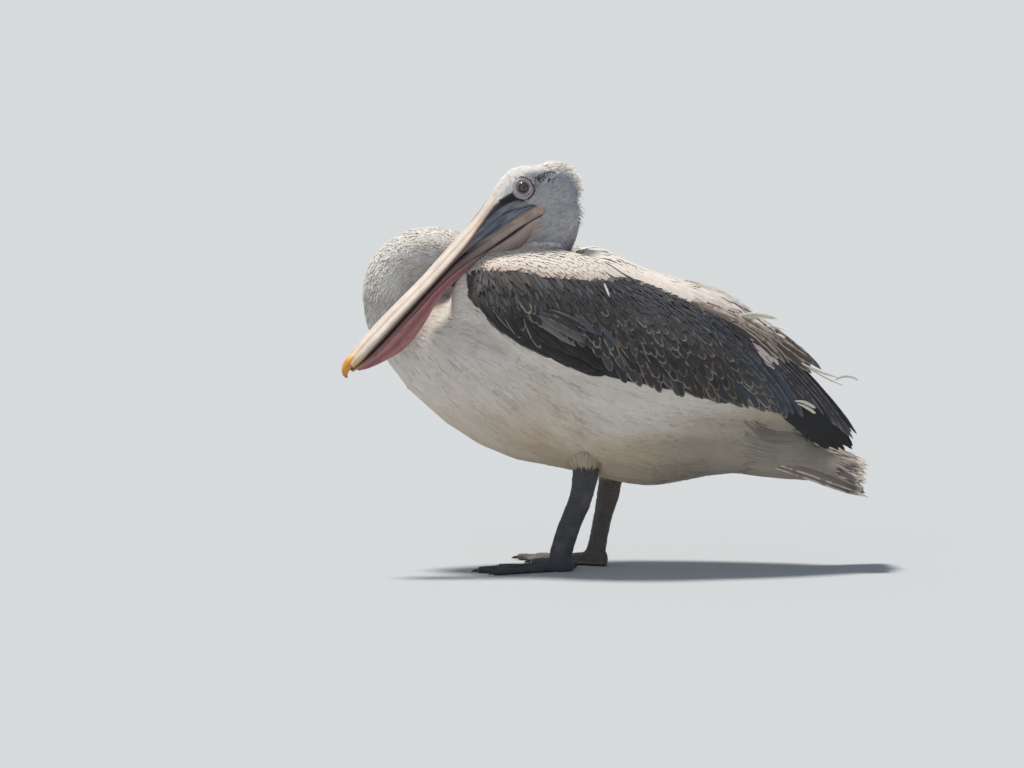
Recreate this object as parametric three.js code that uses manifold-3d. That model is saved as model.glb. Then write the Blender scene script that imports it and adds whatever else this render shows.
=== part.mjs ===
// A life-size Dalmatian pelican, not yet adult, standing at rest: neck folded back in an S, chin drawn in,
// long bill laid down past its left shoulder, wings closed over the back.
// Millimetres, +Z up. The bird faces -X and its left side is -Y. The floor is Z = 0.

import * as THREE from 'three';
import { mergeVertices } from 'three/addons/utils/BufferGeometryUtils.js';
import Module from 'manifold-3d';

const wasm = await Module();
wasm.setup();

// ---- Driving dimensions ----

const GAP = 0.35; // clearance between neighbouring parts
const DEGREE = Math.PI / 180;

// Trunk: upright cross-sections from the breast to the vent.
const TRUNK_SIDES = 18;
const TRUNK_RINGS = 18;
const TRUNK_NARROWING = 0.07; // how much slimmer the back is than the belly
const TRUNK_STATIONS = [
  { x: -347, z: 381, high: 26, wide: 21 },
  { x: -328, z: 369, high: 61, wide: 48 },
  { x: -295, z: 363, high: 87, wide: 72 },
  { x: -246, z: 345, high: 112, wide: 100 },
  { x: -164, z: 331, high: 146, wide: 126 },
  { x: -82, z: 337, high: 170, wide: 138 },
  { x: 0, z: 334, high: 185, wide: 140 },
  { x: 66, z: 313, high: 174, wide: 134 },
  { x: 131, z: 304, high: 158, wide: 120 },
  { x: 197, z: 294, high: 141, wide: 100 },
  { x: 262, z: 259, high: 106, wide: 77 },
  { x: 328, z: 199, high: 53, wide: 54 },
  { x: 361, z: 176, high: 33, wide: 40 },
  { x: 384, z: 160, high: 15, wide: 22 },
];
const BREAST_TIP = { x: -353, z: 386 };
const VENT_TIP = { x: 394, z: 153 };

// Neck: centre line and radius, from inside the breast up over the fold and back to the head.
const NECK_SIDES = 14;
const NECK_FLATNESS = 0.9; // side-to-side radius over fore-and-aft radius
const NECK_STATIONS = [
  { x: -250, y: 0, z: 350, radius: 84 },
  { x: -285, y: 2, z: 377, radius: 77 },
  { x: -314, y: 4, z: 406, radius: 68 },
  { x: -330, y: 7, z: 438, radius: 59.5 },
  { x: -331.5, y: 9, z: 469, radius: 55 },
  { x: -315, y: 10, z: 496, radius: 51.5 },
  { x: -285, y: 10, z: 509, radius: 50.5 },
  { x: -252, y: 9, z: 505.5, radius: 50 },
  { x: -217, y: 7, z: 494, radius: 49 },
  { x: -178, y: 4, z: 486.5, radius: 48 },
  { x: -139, y: -2, z: 491, radius: 46 },
  { x: -104, y: -8, z: 513, radius: 44 },
  { x: -83, y: -14, z: 547, radius: 45 },
  { x: -77, y: -18, z: 588, radius: 41 },
];
const NECK_CUTS = [0, 0.27, 0.6, 1]; // where one length of neck ends and the next begins
const NECK_RINGS = [4, 9, 7];

// Head: sections across the line of the bill. In the head's own frame x runs forward, y left and z up.
const HEAD_CENTRE = { x: -90, y: -20, z: 600 };
const HEAD_PITCH = 41.8 * DEGREE; // bill below the level
const HEAD_YAW = 17 * DEGREE; // bill turned to the bird's left
const HEAD_ROLL = 10 * DEGREE; // crown leaning to the bird's left
const HEAD_SIDES = 14;
const HEAD_RINGS = 10;
const HEAD_STATIONS = [
  { x: -66, z: 10, up: 10, down: 10, wide: 10 },
  { x: -59, z: 10, up: 24, down: 24, wide: 22 },
  { x: -44, z: 10, up: 42, down: 42, wide: 32 },
  { x: -24, z: 12, up: 57, down: 54, wide: 37 },
  { x: -2, z: 20, up: 67.5, down: 56, wide: 38 },
  { x: 18, z: 28, up: 63.5, down: 56, wide: 36 },
  { x: 40, z: 32, up: 53, down: 48, wide: 32 },
  { x: 60, z: 35, up: 40, down: 36, wide: 28 },
  { x: 78, z: 40, up: 29, down: 22, wide: 25 },
  { x: 90, z: 45, up: 20, down: 12, wide: 22 },
];
const EYE_RADIUS = 9.5;
const EYE_PLACE = { x: 16.3, y: 26.5, z: 62 };

// Bill: sections in the head's own frame, each with its reach above and below `z` and its half width.
const BILL_SIDES = 10;
const BILL_RINGS = 9;
const UPPER_STATIONS = [
  { x: 50, z: 52, up: 27, down: 25, wide: 25 },
  { x: 92, z: 50, up: 16.5, down: 16.5, wide: 25.5 },
  { x: 132, z: 50, up: 11.5, down: 11, wide: 24 },
  { x: 178, z: 49, up: 8, down: 7, wide: 22 },
  { x: 236, z: 45, up: 7.5, down: 7, wide: 20.5 },
  { x: 300, z: 42, up: 8.5, down: 8.5, wide: 21.5 },
  { x: 360, z: 38, up: 9.5, down: 8.5, wide: 22.5 },
  { x: 398, z: 34, up: 9.5, down: 6.5, wide: 19.5 },
  { x: 420, z: 32, up: 7, down: 5, wide: 13 },
];
const NAIL_STATIONS = [
  { x: 404, y: 0, z: 38.5, radius: 8 },
  { x: 418, y: 0, z: 36.5, radius: 9.5 },
  { x: 430, y: 0, z: 32, radius: 8 },
  { x: 436, y: 0, z: 26, radius: 5 },
  { x: 437, y: 0, z: 20, radius: 2 },
];
const LOWER_STATIONS = [
  { x: 28, z: 11, up: 10, down: 11, wide: 29 },
  { x: 62, z: 18, up: 9, down: 10, wide: 27.5 },
  { x: 98, z: 24, up: 10, down: 11, wide: 25.5 },
  { x: 125, z: 28, up: 9, down: 11, wide: 24 },
  { x: 178, z: 36, up: 6, down: 8, wide: 21 },
  { x: 228, z: 34.5, up: 4, down: 4.5, wide: 19.5 },
  { x: 300, z: 29.5, up: 4, down: 4.5, wide: 20 },
  { x: 360, z: 26, up: 3.5, down: 4, wide: 20.5 },
  { x: 400, z: 24, up: 3.5, down: 4, wide: 16 },
  { x: 424, z: 23.5, up: 2.5, down: 2.5, wide: 6 },
];
const POUCH_STATIONS = [
  { x: 22, z: 0, up: 6, down: 20, wide: 22 },
  { x: 77, z: 8, up: 6, down: 34, wide: 23 },
  { x: 120, z: 14, up: 6, down: 26, wide: 21 },
  { x: 168, z: 25, up: 6, down: 17, wide: 18 },
  { x: 205, z: 29, up: 4, down: 17, wide: 17 },
  { x: 244, z: 28, up: 4, down: 21, wide: 17 },
  { x: 288, z: 25, up: 3, down: 32, wide: 17 },
  { x: 333, z: 23, up: 3, down: 36.5, wide: 16 },
  { x: 370, z: 21.5, up: 2, down: 27, wide: 14 },
  { x: 399, z: 20, up: 2, down: 15, wide: 10 },
  { x: 415, z: 19.5, up: 2, down: 5, wide: 5 },
];

// Closed wing: upright sections of a shell that lies on the flank. `z`, `high` and `wide` are the oval that it
// lies on, `top` and `bottom` the heights of its edges, and `thick` its depth.
const WING_STATIONS = [
  { x: -216, z: 385, high: 118, wide: 98, top: 503, bottom: 456, thick: 12 },
  { x: -197, z: 375, high: 130, wide: 108, top: 524, bottom: 431, thick: 20 },
  { x: -164, z: 358, high: 148, wide: 121, top: 529, bottom: 397, thick: 24 },
  { x: -131, z: 348, high: 158, wide: 131, top: 530, bottom: 374, thick: 26 },
  { x: -66, z: 343, high: 172, wide: 139, top: 527, bottom: 342, thick: 27 },
  { x: 0, z: 334, high: 183, wide: 140, top: 513, bottom: 326, thick: 27 },
  { x: 66, z: 313, high: 174, wide: 134, top: 482, bottom: 309, thick: 25 },
  { x: 131, z: 304, high: 158, wide: 120, top: 455, bottom: 292, thick: 22 },
  { x: 197, z: 297, high: 141, wide: 102, top: 428, bottom: 280, thick: 19 },
  { x: 254, z: 277, high: 122, wide: 84, top: 392, bottom: 263, thick: 16 },
  { x: 312, z: 255, high: 96, wide: 62, top: 345, bottom: 240, thick: 11 },
  { x: 350, z: 236, high: 70, wide: 50, top: 300, bottom: 219, thick: 8 },
];
const WING_RINGS = 12;
const WING_ARC = 6; // points from the top edge to the bottom edge
const WING_BACKING = 8; // depth of the shell below the oval it lies on
const WING_CUTS = [ // slanted planes that part arm, secondaries and primaries
  { x: 60, slope: 0.55 },
  { x: 235, slope: 0.35 },
];
const WING_CUT_HEIGHT = 380;

// Scapulars: the long feathers that cover the inner edge of the closed wing, from near the spine outwards.
const SCAPULAR_STATIONS = [
  { x: -40, z: 337, high: 190, wide: 150, from: 3, to: 22 },
  { x: 0, z: 334, high: 190, wide: 170, from: 3, to: 36 },
  { x: 66, z: 313, high: 183, wide: 163, from: 3, to: 46 },
  { x: 131, z: 304, high: 172, wide: 146, from: 3, to: 50 },
  { x: 197, z: 297, high: 160, wide: 126, from: 3, to: 52 },
  { x: 254, z: 275, high: 142, wide: 104, from: 3, to: 50 },
  { x: 286, z: 262, high: 136, wide: 88, from: 5, to: 42 },
];
const SCAPULAR_DEPTH = 26;
const SCAPULAR_RINGS = 7;
const SCAPULAR_ARC = 5;

// Free feather tips, each from a root under the shell to its tip.
const FEATHER_THICKNESS = 3.2;
const TERTIALS = [
  { root: [205, -30, 428], tip: [288, -16, 402], width: 11 },
  { root: [225, -42, 402], tip: [312, -26, 377], width: 14 },
  { root: [240, -52, 380], tip: [330, -36, 354], width: 15 },
  { root: [250, -60, 354], tip: [350, -42, 322], width: 16 },
];
const PRIMARIES = [
  { root: [270, -62, 318], tip: [372, -44, 282], width: 15 },
  { root: [280, -64, 298], tip: [398, -42, 256], width: 15 },
  { root: [285, -64, 280], tip: [416, -38, 226], width: 15 },
  { root: [290, -64, 262], tip: [411, -38, 200], width: 14 },
];

// Tail: a fan of feathers whose outer ones lie lower, like a shallow roof.
const TAIL_FEATHERS = 7;
const TAIL_ROOT = { x: 268, z: 205, wide: 34, drop: 6 };
const TAIL_TIP = { x: 445, z: 160, wide: 78, drop: 43, shorter: 10 };
const TAIL_ARCH = 1.7; // exponent of the drop from the middle feather to the outer ones
const TAIL_FEATHER_WIDTH = 21;

// Legs: shank from the heel, hidden in the belly feathers, down to the ankle above the toes.
const THIGH = { x: -14, y: 74, z: 214, long: 66, wide: 52, high: 78 };
const LEFT_SHANK = [
  { x: -20, y: -60, z: 196, deep: 19, wide: 15 },
  { x: -25, y: -60, z: 164, deep: 20.5, wide: 16 },
  { x: -31, y: -60, z: 130, deep: 17.5, wide: 12.5 },
  { x: -44, y: -60, z: 85, deep: 16.5, wide: 11.5 },
  { x: -55, y: -60, z: 50, deep: 15.5, wide: 11.5 },
  { x: -62, y: -60, z: 24, deep: 16, wide: 13 },
];
const RIGHT_SHANK = [
  { x: 22, y: 60, z: 196, deep: 19, wide: 15 },
  { x: 19, y: 60, z: 164, deep: 20.5, wide: 16 },
  { x: 15, y: 60, z: 132, deep: 17.5, wide: 12.5 },
  { x: 7, y: 60, z: 85, deep: 16, wide: 11.5 },
  { x: 0, y: 60, z: 50, deep: 15.5, wide: 11.5 },
  { x: -5, y: 60, z: 24, deep: 16, wide: 13 },
];
const SHANK_SIDES = 8;
const SHANK_RINGS = 5;

// Foot, in its own frame: x runs forward along the middle toe, y outwards. All four toes are webbed.
const LEFT_FOOT = { x: -62, y: -60, turn: 14 * DEGREE };
const RIGHT_FOOT = { x: -5, y: 60, turn: 24 * DEGREE };
const TOES = [
  { name: '1', angle: -128, length: 54, radius: 6 },
  { name: '2', angle: -27, length: 108, radius: 7.5 },
  { name: '3', angle: 0, length: 142, radius: 8.5 },
  { name: '4', angle: 20, length: 134, radius: 7.5 },
];
const TOE_SIDES = 6;
const TOE_RINGS = 2;
const TOE_START = 10; // toes begin inside the ankle
const WEB_BASE = 1.2;
const WEB_THICKNESS = 3;
const WEB_HOLLOW = 0.86; // how far the web's edge reaches between two toe tips
const CLAW_LENGTH = 13;
const CLAW_RADIUS = 3.4;
const CLAW_SIDES = 6;
const ANKLE_HEIGHT = 30; // the shank ends and the foot begins
const ANKLE_STATIONS = [
  { x: -3, y: 0, z: 36, deep: 16, wide: 13 },
  { x: 1, y: 0, z: 20, deep: 18, wide: 15.5 },
  { x: 2, y: 0, z: 9, deep: 23, wide: 19 },
  { x: 2, y: 0, z: -6, deep: 22, wide: 18 },
];

// ---- Materials ----

const finish = (color, roughness) => new THREE.MeshStandardMaterial({ color, roughness, metalness: 0 });
const WHITE_PLUMAGE = finish(0xded6cb, 0.9);
const HEAD_PLUMAGE = finish(0xcdc6bd, 0.9);
const COVERT_PLUMAGE = finish(0x6d5f57, 0.85);
const SCAPULAR_PLUMAGE = finish(0xa5988d, 0.85);
const FLIGHT_PLUMAGE = finish(0x2a2624, 0.75);
const TAIL_PLUMAGE = finish(0x9c948b, 0.85);
const BILL_HORN = finish(0xbfb3a8, 0.5);
const NAIL_HORN = finish(0xd98a3d, 0.45);
const POUCH_SKIN = finish(0xc08a84, 0.55);
const LEG_SKIN = finish(0x4b4e57, 0.6);
const CLAW_HORN = finish(0x35322f, 0.5);
const EYE_GLASS = finish(0x1c1512, 0.08);

// ---- Shapes ----

const at = (x, y, z) => new THREE.Vector3(x, y, z);

/** Value of every field of a list of stations, along a Catmull-Rom spline, for t from 0 to 1. */
function stationAt(stations, t) {
  const place = t * (stations.length - 1);
  const from = Math.min(Math.floor(place), stations.length - 2);
  const s = place - from;
  const near = [-1, 0, 1, 2].map((k) => stations[THREE.MathUtils.clamp(from + k, 0, stations.length - 1)]);
  const blend = {};
  for (const key of Object.keys(stations[0])) {
    const [a, b, c, d] = near.map((station) => station[key]);
    const first = (c - a) * s;
    const second = (2 * a - 5 * b + 4 * c - d) * s * s;
    const third = (3 * b - 3 * c + d - a) * s * s * s;
    blend[key] = b + (first + second + third) / 2;
  }
  return blend;
}

/** Closed geometry through rings of equal length, each end closed by a fan to its tip or its centre. */
function skinOf(rings, startTip = null, endTip = null) {
  const count = rings[0].length;
  const points = rings.flat();
  const faces = [];
  for (let i = 0; i + 1 < rings.length; i++) {
    for (let j = 0; j < count; j++) {
      const a = i * count + j;
      const b = i * count + ((j + 1) % count);
      faces.push(a, b, a + count, b, b + count, a + count);
    }
  }
  const close = (start, tip, flip) => {
    const centre = points.slice(start, start + count).reduce((sum, p) => sum.add(p), at(0, 0, 0));
    const apex = points.push(tip ?? centre.divideScalar(count)) - 1;
    for (let j = 0; j < count; j++) {
      const a = start + j;
      const b = start + ((j + 1) % count);
      faces.push(...(flip ? [a, b, apex] : [b, a, apex]));
    }
  };
  close(0, startTip, false);
  close((rings.length - 1) * count, endTip, true);
  let volume = 0;
  for (let k = 0; k < faces.length; k += 3) {
    const [a, b, c] = faces.slice(k, k + 3).map((v) => points[v]);
    volume += a.dot(b.clone().cross(c));
  }
  if (volume < 0) {
    faces.reverse();
  }
  const geometry = new THREE.BufferGeometry();
  geometry.setAttribute('position', new THREE.Float32BufferAttribute(points.flatMap((p) => p.toArray()), 3));
  geometry.setIndex(faces);
  return geometry;
}

/** Solid of a closed geometry. */
function solidOf(geometry) {
  const bare = geometry.clone();
  bare.deleteAttribute('normal');
  bare.deleteAttribute('uv');
  const merged = mergeVertices(bare, 1e-4);
  return new wasm.Manifold(new wasm.Mesh({
    numProp: 3,
    vertProperties: new Float32Array(merged.attributes.position.array),
    triVerts: new Uint32Array(merged.index.array),
  }));
}

/** The largest single body of a solid that a cut may have left with crumbs. */
function largestOf(solid) {
  const bodies = solid.decompose();
  return bodies.reduce((best, body) => (body.volume() > best.volume() ? body : best));
}

/** Geometry of a solid. */
function geometryOf(solid) {
  const mesh = solid.getMesh();
  const geometry = new THREE.BufferGeometry();
  geometry.setAttribute('position', new THREE.Float32BufferAttribute(mesh.vertProperties, 3));
  geometry.setIndex([...mesh.triVerts]);
  geometry.computeVertexNormals();
  return geometry;
}

const joined = (solids) => solids.reduce((sum, solid) => sum.add(solid));
const without = (solid, cutters) => cutters.reduce((rest, cutter) => rest.subtract(cutter), solid);
const mirrored = (solid) => solid.mirror([0, 1, 0]);

/** Upright oval section across X. `lean` narrows the upper half. */
function uprightRing(station, sides, grow, lean) {
  const ring = [];
  for (let j = 0; j < sides; j++) {
    const angle = (j / sides) * 2 * Math.PI;
    const rise = Math.cos(angle);
    const across = Math.sin(angle) * (station.wide + grow) * (1 - lean * rise);
    ring.push(at(station.x, across, station.z + rise * (station.high + grow)));
  }
  return ring;
}

/** Section across the head's x axis, with its own reach above and below its middle. */
function headRing(station, sides, grow, squareness = 1) {
  const ring = [];
  for (let j = 0; j < sides; j++) {
    const angle = (j / sides) * 2 * Math.PI;
    const rise = Math.sign(Math.sin(angle)) * Math.abs(Math.sin(angle)) ** squareness;
    const across = Math.sign(Math.cos(angle)) * Math.abs(Math.cos(angle)) ** squareness;
    const reach = rise > 0 ? station.up : station.down;
    ring.push(at(station.x, across * (station.wide + grow), station.z + rise * (reach + grow)));
  }
  return ring;
}

/** Rings square to a centre line, their first axis lying in the plane of travel and X. */
function tubeRings(stations, from, to, count, sides, size) {
  const rings = [];
  for (let i = 0; i <= count; i++) {
    const t = from + ((to - from) * i) / count;
    const here = stationAt(stations, t);
    const ahead = stationAt(stations, Math.min(1, t + 0.005));
    const behind = stationAt(stations, Math.max(0, t - 0.005));
    const travel = at(ahead.x - behind.x, ahead.y - behind.y, ahead.z - behind.z).normalize();
    const first = at(0, 1, 0).cross(travel).normalize();
    const second = travel.clone().cross(first);
    const [deep, wide] = size(here);
    const ring = [];
    for (let j = 0; j < sides; j++) {
      const angle = (j / sides) * 2 * Math.PI;
      const point = at(here.x, here.y, here.z);
      point.addScaledVector(first, Math.cos(angle) * deep);
      point.addScaledVector(second, Math.sin(angle) * wide);
      ring.push(point);
    }
    rings.push(ring);
  }
  return rings;
}

/** Rings from stations that lie across the x axis. */
function lengthwise(stations, count, ringOf) {
  const rings = [];
  for (let i = 0; i <= count; i++) {
    rings.push(ringOf(stationAt(stations, i / count)));
  }
  return rings;
}

/** A long feather: a thin lens in section, widest past its middle, with a rounded tip. */
function feather(root, tip, across, width) {
  const travel = tip.clone().sub(root);
  const side = across.clone().addScaledVector(travel, -across.dot(travel) / travel.lengthSq()).normalize();
  const face = travel.clone().cross(side).normalize();
  const profile = [[0, 0.5], [0.6, 1], [0.87, 0.82], [0.96, 0.45]];
  const rings = profile.map(([s, spread]) => {
    const centre = root.clone().addScaledVector(travel, s);
    const half = width * spread;
    const depth = (FEATHER_THICKNESS / 2) * (1 - 0.5 * s);
    const corners = [[half, 0], [0, depth], [-half, 0], [0, -depth]];
    return corners.map(([a, b]) => centre.clone().addScaledVector(side, a).addScaledVector(face, b));
  });
  return solidOf(skinOf(rings, null, tip));
}

// ---- Trunk, neck and head ----

function trunkSolid(grow) {
  const rings = lengthwise(TRUNK_STATIONS, TRUNK_RINGS, (s) => uprightRing(s, TRUNK_SIDES, grow, TRUNK_NARROWING));
  const front = at(BREAST_TIP.x - grow, 0, BREAST_TIP.z);
  const rear = at(VENT_TIP.x + grow, 0, VENT_TIP.z);
  return solidOf(skinOf(rings, front, rear));
}

function neckSolid(length, grow) {
  const margin = grow / 700; // the neck is about 700 mm long
  const from = Math.max(0, NECK_CUTS[length] - margin);
  const to = Math.min(1, NECK_CUTS[length + 1] + margin);
  const size = (s) => [s.radius + grow, s.radius * NECK_FLATNESS + grow];
  return solidOf(skinOf(tubeRings(NECK_STATIONS, from, to, NECK_RINGS[length], NECK_SIDES, size)));
}

const headPlace = new THREE.Matrix4().makeRotationFromEuler(
  new THREE.Euler(-HEAD_ROLL, HEAD_PITCH, Math.PI + HEAD_YAW, 'ZYX'),
).setPosition(HEAD_CENTRE.x, HEAD_CENTRE.y, HEAD_CENTRE.z);
const inWorld = (solid) => solid.transform(headPlace.elements);
const inHead = (solid) => solid.transform(headPlace.clone().invert().elements);

function headSolid(grow) {
  const rings = lengthwise(HEAD_STATIONS, HEAD_RINGS, (s) => headRing(s, HEAD_SIDES, grow));
  const back = at(HEAD_STATIONS[0].x - 3 - grow, 0, HEAD_STATIONS[0].z);
  const front = at(HEAD_STATIONS.at(-1).x + grow, 0, HEAD_STATIONS.at(-1).z);
  return solidOf(skinOf(rings, back, front));
}

function eyeSolid(side, grow) {
  const ball = new THREE.SphereGeometry(EYE_RADIUS + grow, 10, 6);
  ball.translate(EYE_PLACE.x, EYE_PLACE.y * side, EYE_PLACE.z);
  return solidOf(ball);
}

// ---- Bill ----

const upperBill = (grow) =>
  solidOf(skinOf(lengthwise(UPPER_STATIONS, BILL_RINGS, (s) => headRing(s, BILL_SIDES, grow, 0.8))));
const lowerBill = (grow) =>
  solidOf(skinOf(lengthwise(LOWER_STATIONS, BILL_RINGS, (s) => headRing(s, BILL_SIDES, grow, 0.75))));
const pouch = (grow) =>
  solidOf(skinOf(lengthwise(POUCH_STATIONS, BILL_RINGS, (s) => headRing(s, BILL_SIDES, grow, 1.1))));

function nailSolid(grow) {
  const size = (s) => [s.radius * 0.8 + grow, s.radius + grow];
  return solidOf(skinOf(tubeRings(NAIL_STATIONS, 0, 1, 6, 8, size)));
}

// ---- Wings ----

/** A point of an upright oval about the X axis, `angle` degrees out from the top towards -Y. */
function onOval(station, angle, offset) {
  const turn = angle * DEGREE;
  const across = -(station.wide + offset) * Math.sin(turn);
  return at(station.x, across, station.z + (station.high + offset) * Math.cos(turn));
}

/** Ring of a shell over an oval, from its outer face and back along its inner face. */
function shellRing(station, from, to, arc, outer, inner) {
  const ring = [];
  for (let k = 0; k < arc; k++) {
    const v = k / (arc - 1);
    ring.push(onOval(station, from + (to - from) * v, outer(v)));
  }
  for (let k = arc - 1; k >= 0; k--) {
    const v = k / (arc - 1);
    ring.push(onOval(station, from + (to - from) * v, inner));
  }
  return ring;
}

/** The closed left wing without its feather tips, before anything is cut from it. */
function wingShell(grow) {
  const rings = lengthwise(WING_STATIONS, WING_RINGS, (s) => {
    const reach = s.high + s.thick / 2;
    const edgeAngle = (height) => Math.acos(THREE.MathUtils.clamp((height - s.z) / reach, -1, 1)) / DEGREE;
    const slack = (grow / s.high) / DEGREE;
    const depth = (v) => s.thick * (0.5 + 0.5 * Math.sin(Math.PI * Math.min(1, 0.12 + 0.8 * v))) + grow;
    const from = edgeAngle(s.top) - slack;
    const to = edgeAngle(s.bottom) + slack;
    return shellRing(s, from, to, WING_ARC, depth, -WING_BACKING - grow);
  });
  return solidOf(skinOf(rings));
}

function scapularShell() {
  const rings = lengthwise(SCAPULAR_STATIONS, SCAPULAR_RINGS, (s) => {
    const depth = (v) => -4 * v ** 3;
    return shellRing(s, s.from, s.to, SCAPULAR_ARC, depth, -SCAPULAR_DEPTH);
  });
  return solidOf(skinOf(rings));
}

/** Feathers of one group, each lying flat on the bird's side. */
function featherTips(group) {
  return joined(group.map(({ root, tip, width }) => {
    const lie = at(0, -0.45, 0.89);
    return feather(at(...root), at(...tip), lie, width);
  }));
}

/** Half of a solid on one side of a slanted plane across the wing; `side` is -1 for the front. */
function halfOf(solid, cut, side) {
  const normal = at(1, 0, cut.slope).normalize().multiplyScalar(side);
  const through = at(cut.x, 0, WING_CUT_HEIGHT);
  return solid.trimByPlane(normal.toArray(), normal.dot(through) + GAP / 2);
}

// ---- Tail ----

function tailSolid() {
  const feathers = [];
  for (let k = 0; k < TAIL_FEATHERS; k++) {
    const spread = (2 * k) / (TAIL_FEATHERS - 1) - 1;
    const fall = Math.abs(spread) ** TAIL_ARCH;
    const slope = (TAIL_ARCH * TAIL_TIP.drop * Math.abs(spread) ** (TAIL_ARCH - 1)) / TAIL_TIP.wide;
    const root = at(TAIL_ROOT.x, spread * TAIL_ROOT.wide, TAIL_ROOT.z - TAIL_ROOT.drop * fall);
    const tip = at(
      TAIL_TIP.x - TAIL_TIP.shorter * spread ** 2,
      spread * TAIL_TIP.wide,
      TAIL_TIP.z - TAIL_TIP.drop * fall,
    );
    feathers.push(feather(root, tip, at(0, 1, -slope * Math.sign(spread)), TAIL_FEATHER_WIDTH));
  }
  return joined(feathers);
}

// ---- Legs and feet ----

function thighSolid(side, grow) {
  const ball = new THREE.SphereGeometry(1, 10, 6);
  ball.scale(THIGH.long + grow, THIGH.wide + grow, THIGH.high + grow);
  const ahead = side < 0 ? 0 : 34; // the right leg stands a little further back
  ball.translate(THIGH.x + ahead, THIGH.y * side, THIGH.z);
  return solidOf(ball);
}

function shankSolid(stations, grow) {
  const size = (s) => [s.deep + grow, s.wide + grow];
  const shank = solidOf(skinOf(tubeRings(stations, 0, 1, SHANK_RINGS, SHANK_SIDES, size)));
  return shank.trimByPlane([0, 0, 1], ANKLE_HEIGHT + GAP / 2);
}

function toeSolid({ angle, length, radius }) {
  const rings = [];
  for (let i = 0; i <= TOE_RINGS; i++) {
    const s = i / TOE_RINGS;
    const along = TOE_START + (length - TOE_START) * s;
    const knuckle = 1 + 0.12 * Math.cos(s * 2 * Math.PI);
    const size = radius * (1 - 0.45 * s) * knuckle;
    const ring = [];
    for (let j = 0; j < TOE_SIDES; j++) {
      const turn = (j / TOE_SIDES) * 2 * Math.PI;
      ring.push(at(along, size * Math.cos(turn), size * 0.72 + size * Math.sin(turn)));
    }
    rings.push(ring);
  }
  return solidOf(skinOf(rings).rotateZ(angle * DEGREE));
}

function clawSolid({ angle, length, radius }) {
  const tipSize = radius * 0.55;
  const rings = [0, 0.6].map((s) => {
    const size = CLAW_RADIUS * (1 - 0.62 * s);
    const along = length + GAP + CLAW_LENGTH * s;
    const ring = [];
    for (let j = 0; j < CLAW_SIDES; j++) {
      const turn = (j / CLAW_SIDES) * 2 * Math.PI;
      ring.push(at(along, size * 0.8 * Math.cos(turn), CLAW_RADIUS + 1.5 - 1.6 * s + size * Math.sin(turn)));
    }
    return ring;
  });
  const tip = at(length + CLAW_LENGTH, 0, tipSize * 0.4);
  return solidOf(skinOf(rings, null, tip).rotateZ(angle * DEGREE));
}

/** Skin between the toes, its edge hollow between one toe tip and the next. */
function webSolid() {
  const tips = TOES.map(({ angle, length }) => {
    const turn = angle * DEGREE;
    return new THREE.Vector2(Math.cos(turn), Math.sin(turn)).multiplyScalar(length * 0.96);
  });
  const outline = new THREE.Shape();
  outline.moveTo(-12, 4);
  outline.lineTo(tips[0].x, tips[0].y);
  for (let k = 1; k < tips.length; k++) {
    const middle = tips[k - 1].clone().add(tips[k]).multiplyScalar(WEB_HOLLOW / 2);
    outline.quadraticCurveTo(middle.x, middle.y, tips[k].x, tips[k].y);
  }
  outline.quadraticCurveTo(40, 22, -12, 4);
  const sheet = new THREE.ExtrudeGeometry(outline, { depth: WEB_THICKNESS, bevelEnabled: false, curveSegments: 4 });
  return solidOf(sheet.translate(0, 0, WEB_BASE));
}

function footSolid() {
  const size = (s) => [s.deep, s.wide];
  const ankle = solidOf(skinOf(tubeRings(ANKLE_STATIONS, 0, 1, 3, SHANK_SIDES, size)));
  const whole = joined([ankle, webSolid(), ...TOES.map(toeSolid)]);
  return whole.trimByPlane([0, 0, 1], 0).trimByPlane([0, 0, -1], GAP / 2 - ANKLE_HEIGHT);
}

// ---- Assembly ----

const group = new THREE.Group();

function place(name, solid, material, parent = group) {
  const mesh = new THREE.Mesh(geometryOf(largestOf(solid)), material);
  mesh.name = name;
  parent.add(mesh);
  return mesh;
}

const trunk = trunkSolid(0);
const trunkSpace = trunkSolid(GAP);
const shankSpaces = [LEFT_SHANK, RIGHT_SHANK].map((stations) => shankSolid(stations, GAP));
const thighSpaces = [-1, 1].map((side) => thighSolid(side, GAP));
place('trunk', without(trunk, [...thighSpaces, ...shankSpaces]), WHITE_PLUMAGE);

const headSpace = inWorld(headSolid(GAP));
const neckSpaces = [0, 1, 2].map((length) => neckSolid(length, GAP));
place('neck_base', without(neckSolid(0, 0), [trunkSpace]), WHITE_PLUMAGE);
place('neck_fold', without(neckSolid(1, 0), [trunkSpace, neckSpaces[0]]), WHITE_PLUMAGE);
place('neck_upper', without(neckSolid(2, 0), [trunkSpace, neckSpaces[0], neckSpaces[1], headSpace]), WHITE_PLUMAGE);

const headGroup = new THREE.Group();
headGroup.applyMatrix4(headPlace);
group.add(headGroup);
const eyeSpaces = [1, -1].map((side) => eyeSolid(side, GAP));
const flesh = [headSolid(GAP), ...eyeSpaces];
const throatSpace = inHead(joined([trunkSpace, ...neckSpaces]));
place('head', without(headSolid(0), eyeSpaces), HEAD_PLUMAGE, headGroup);
place('eye_left', eyeSolid(1, 0), EYE_GLASS, headGroup);
place('eye_right', eyeSolid(-1, 0), EYE_GLASS, headGroup);
place('bill_nail', nailSolid(0), NAIL_HORN, headGroup);
place('bill_upper', without(upperBill(0), [...flesh, nailSolid(GAP)]), BILL_HORN, headGroup);
place('bill_lower', without(lowerBill(0), [...flesh, nailSolid(GAP), upperBill(GAP)]), BILL_HORN, headGroup);
place('pouch', without(pouch(0), [...flesh, lowerBill(GAP), upperBill(GAP), throatSpace]), POUCH_SKIN, headGroup);

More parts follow.
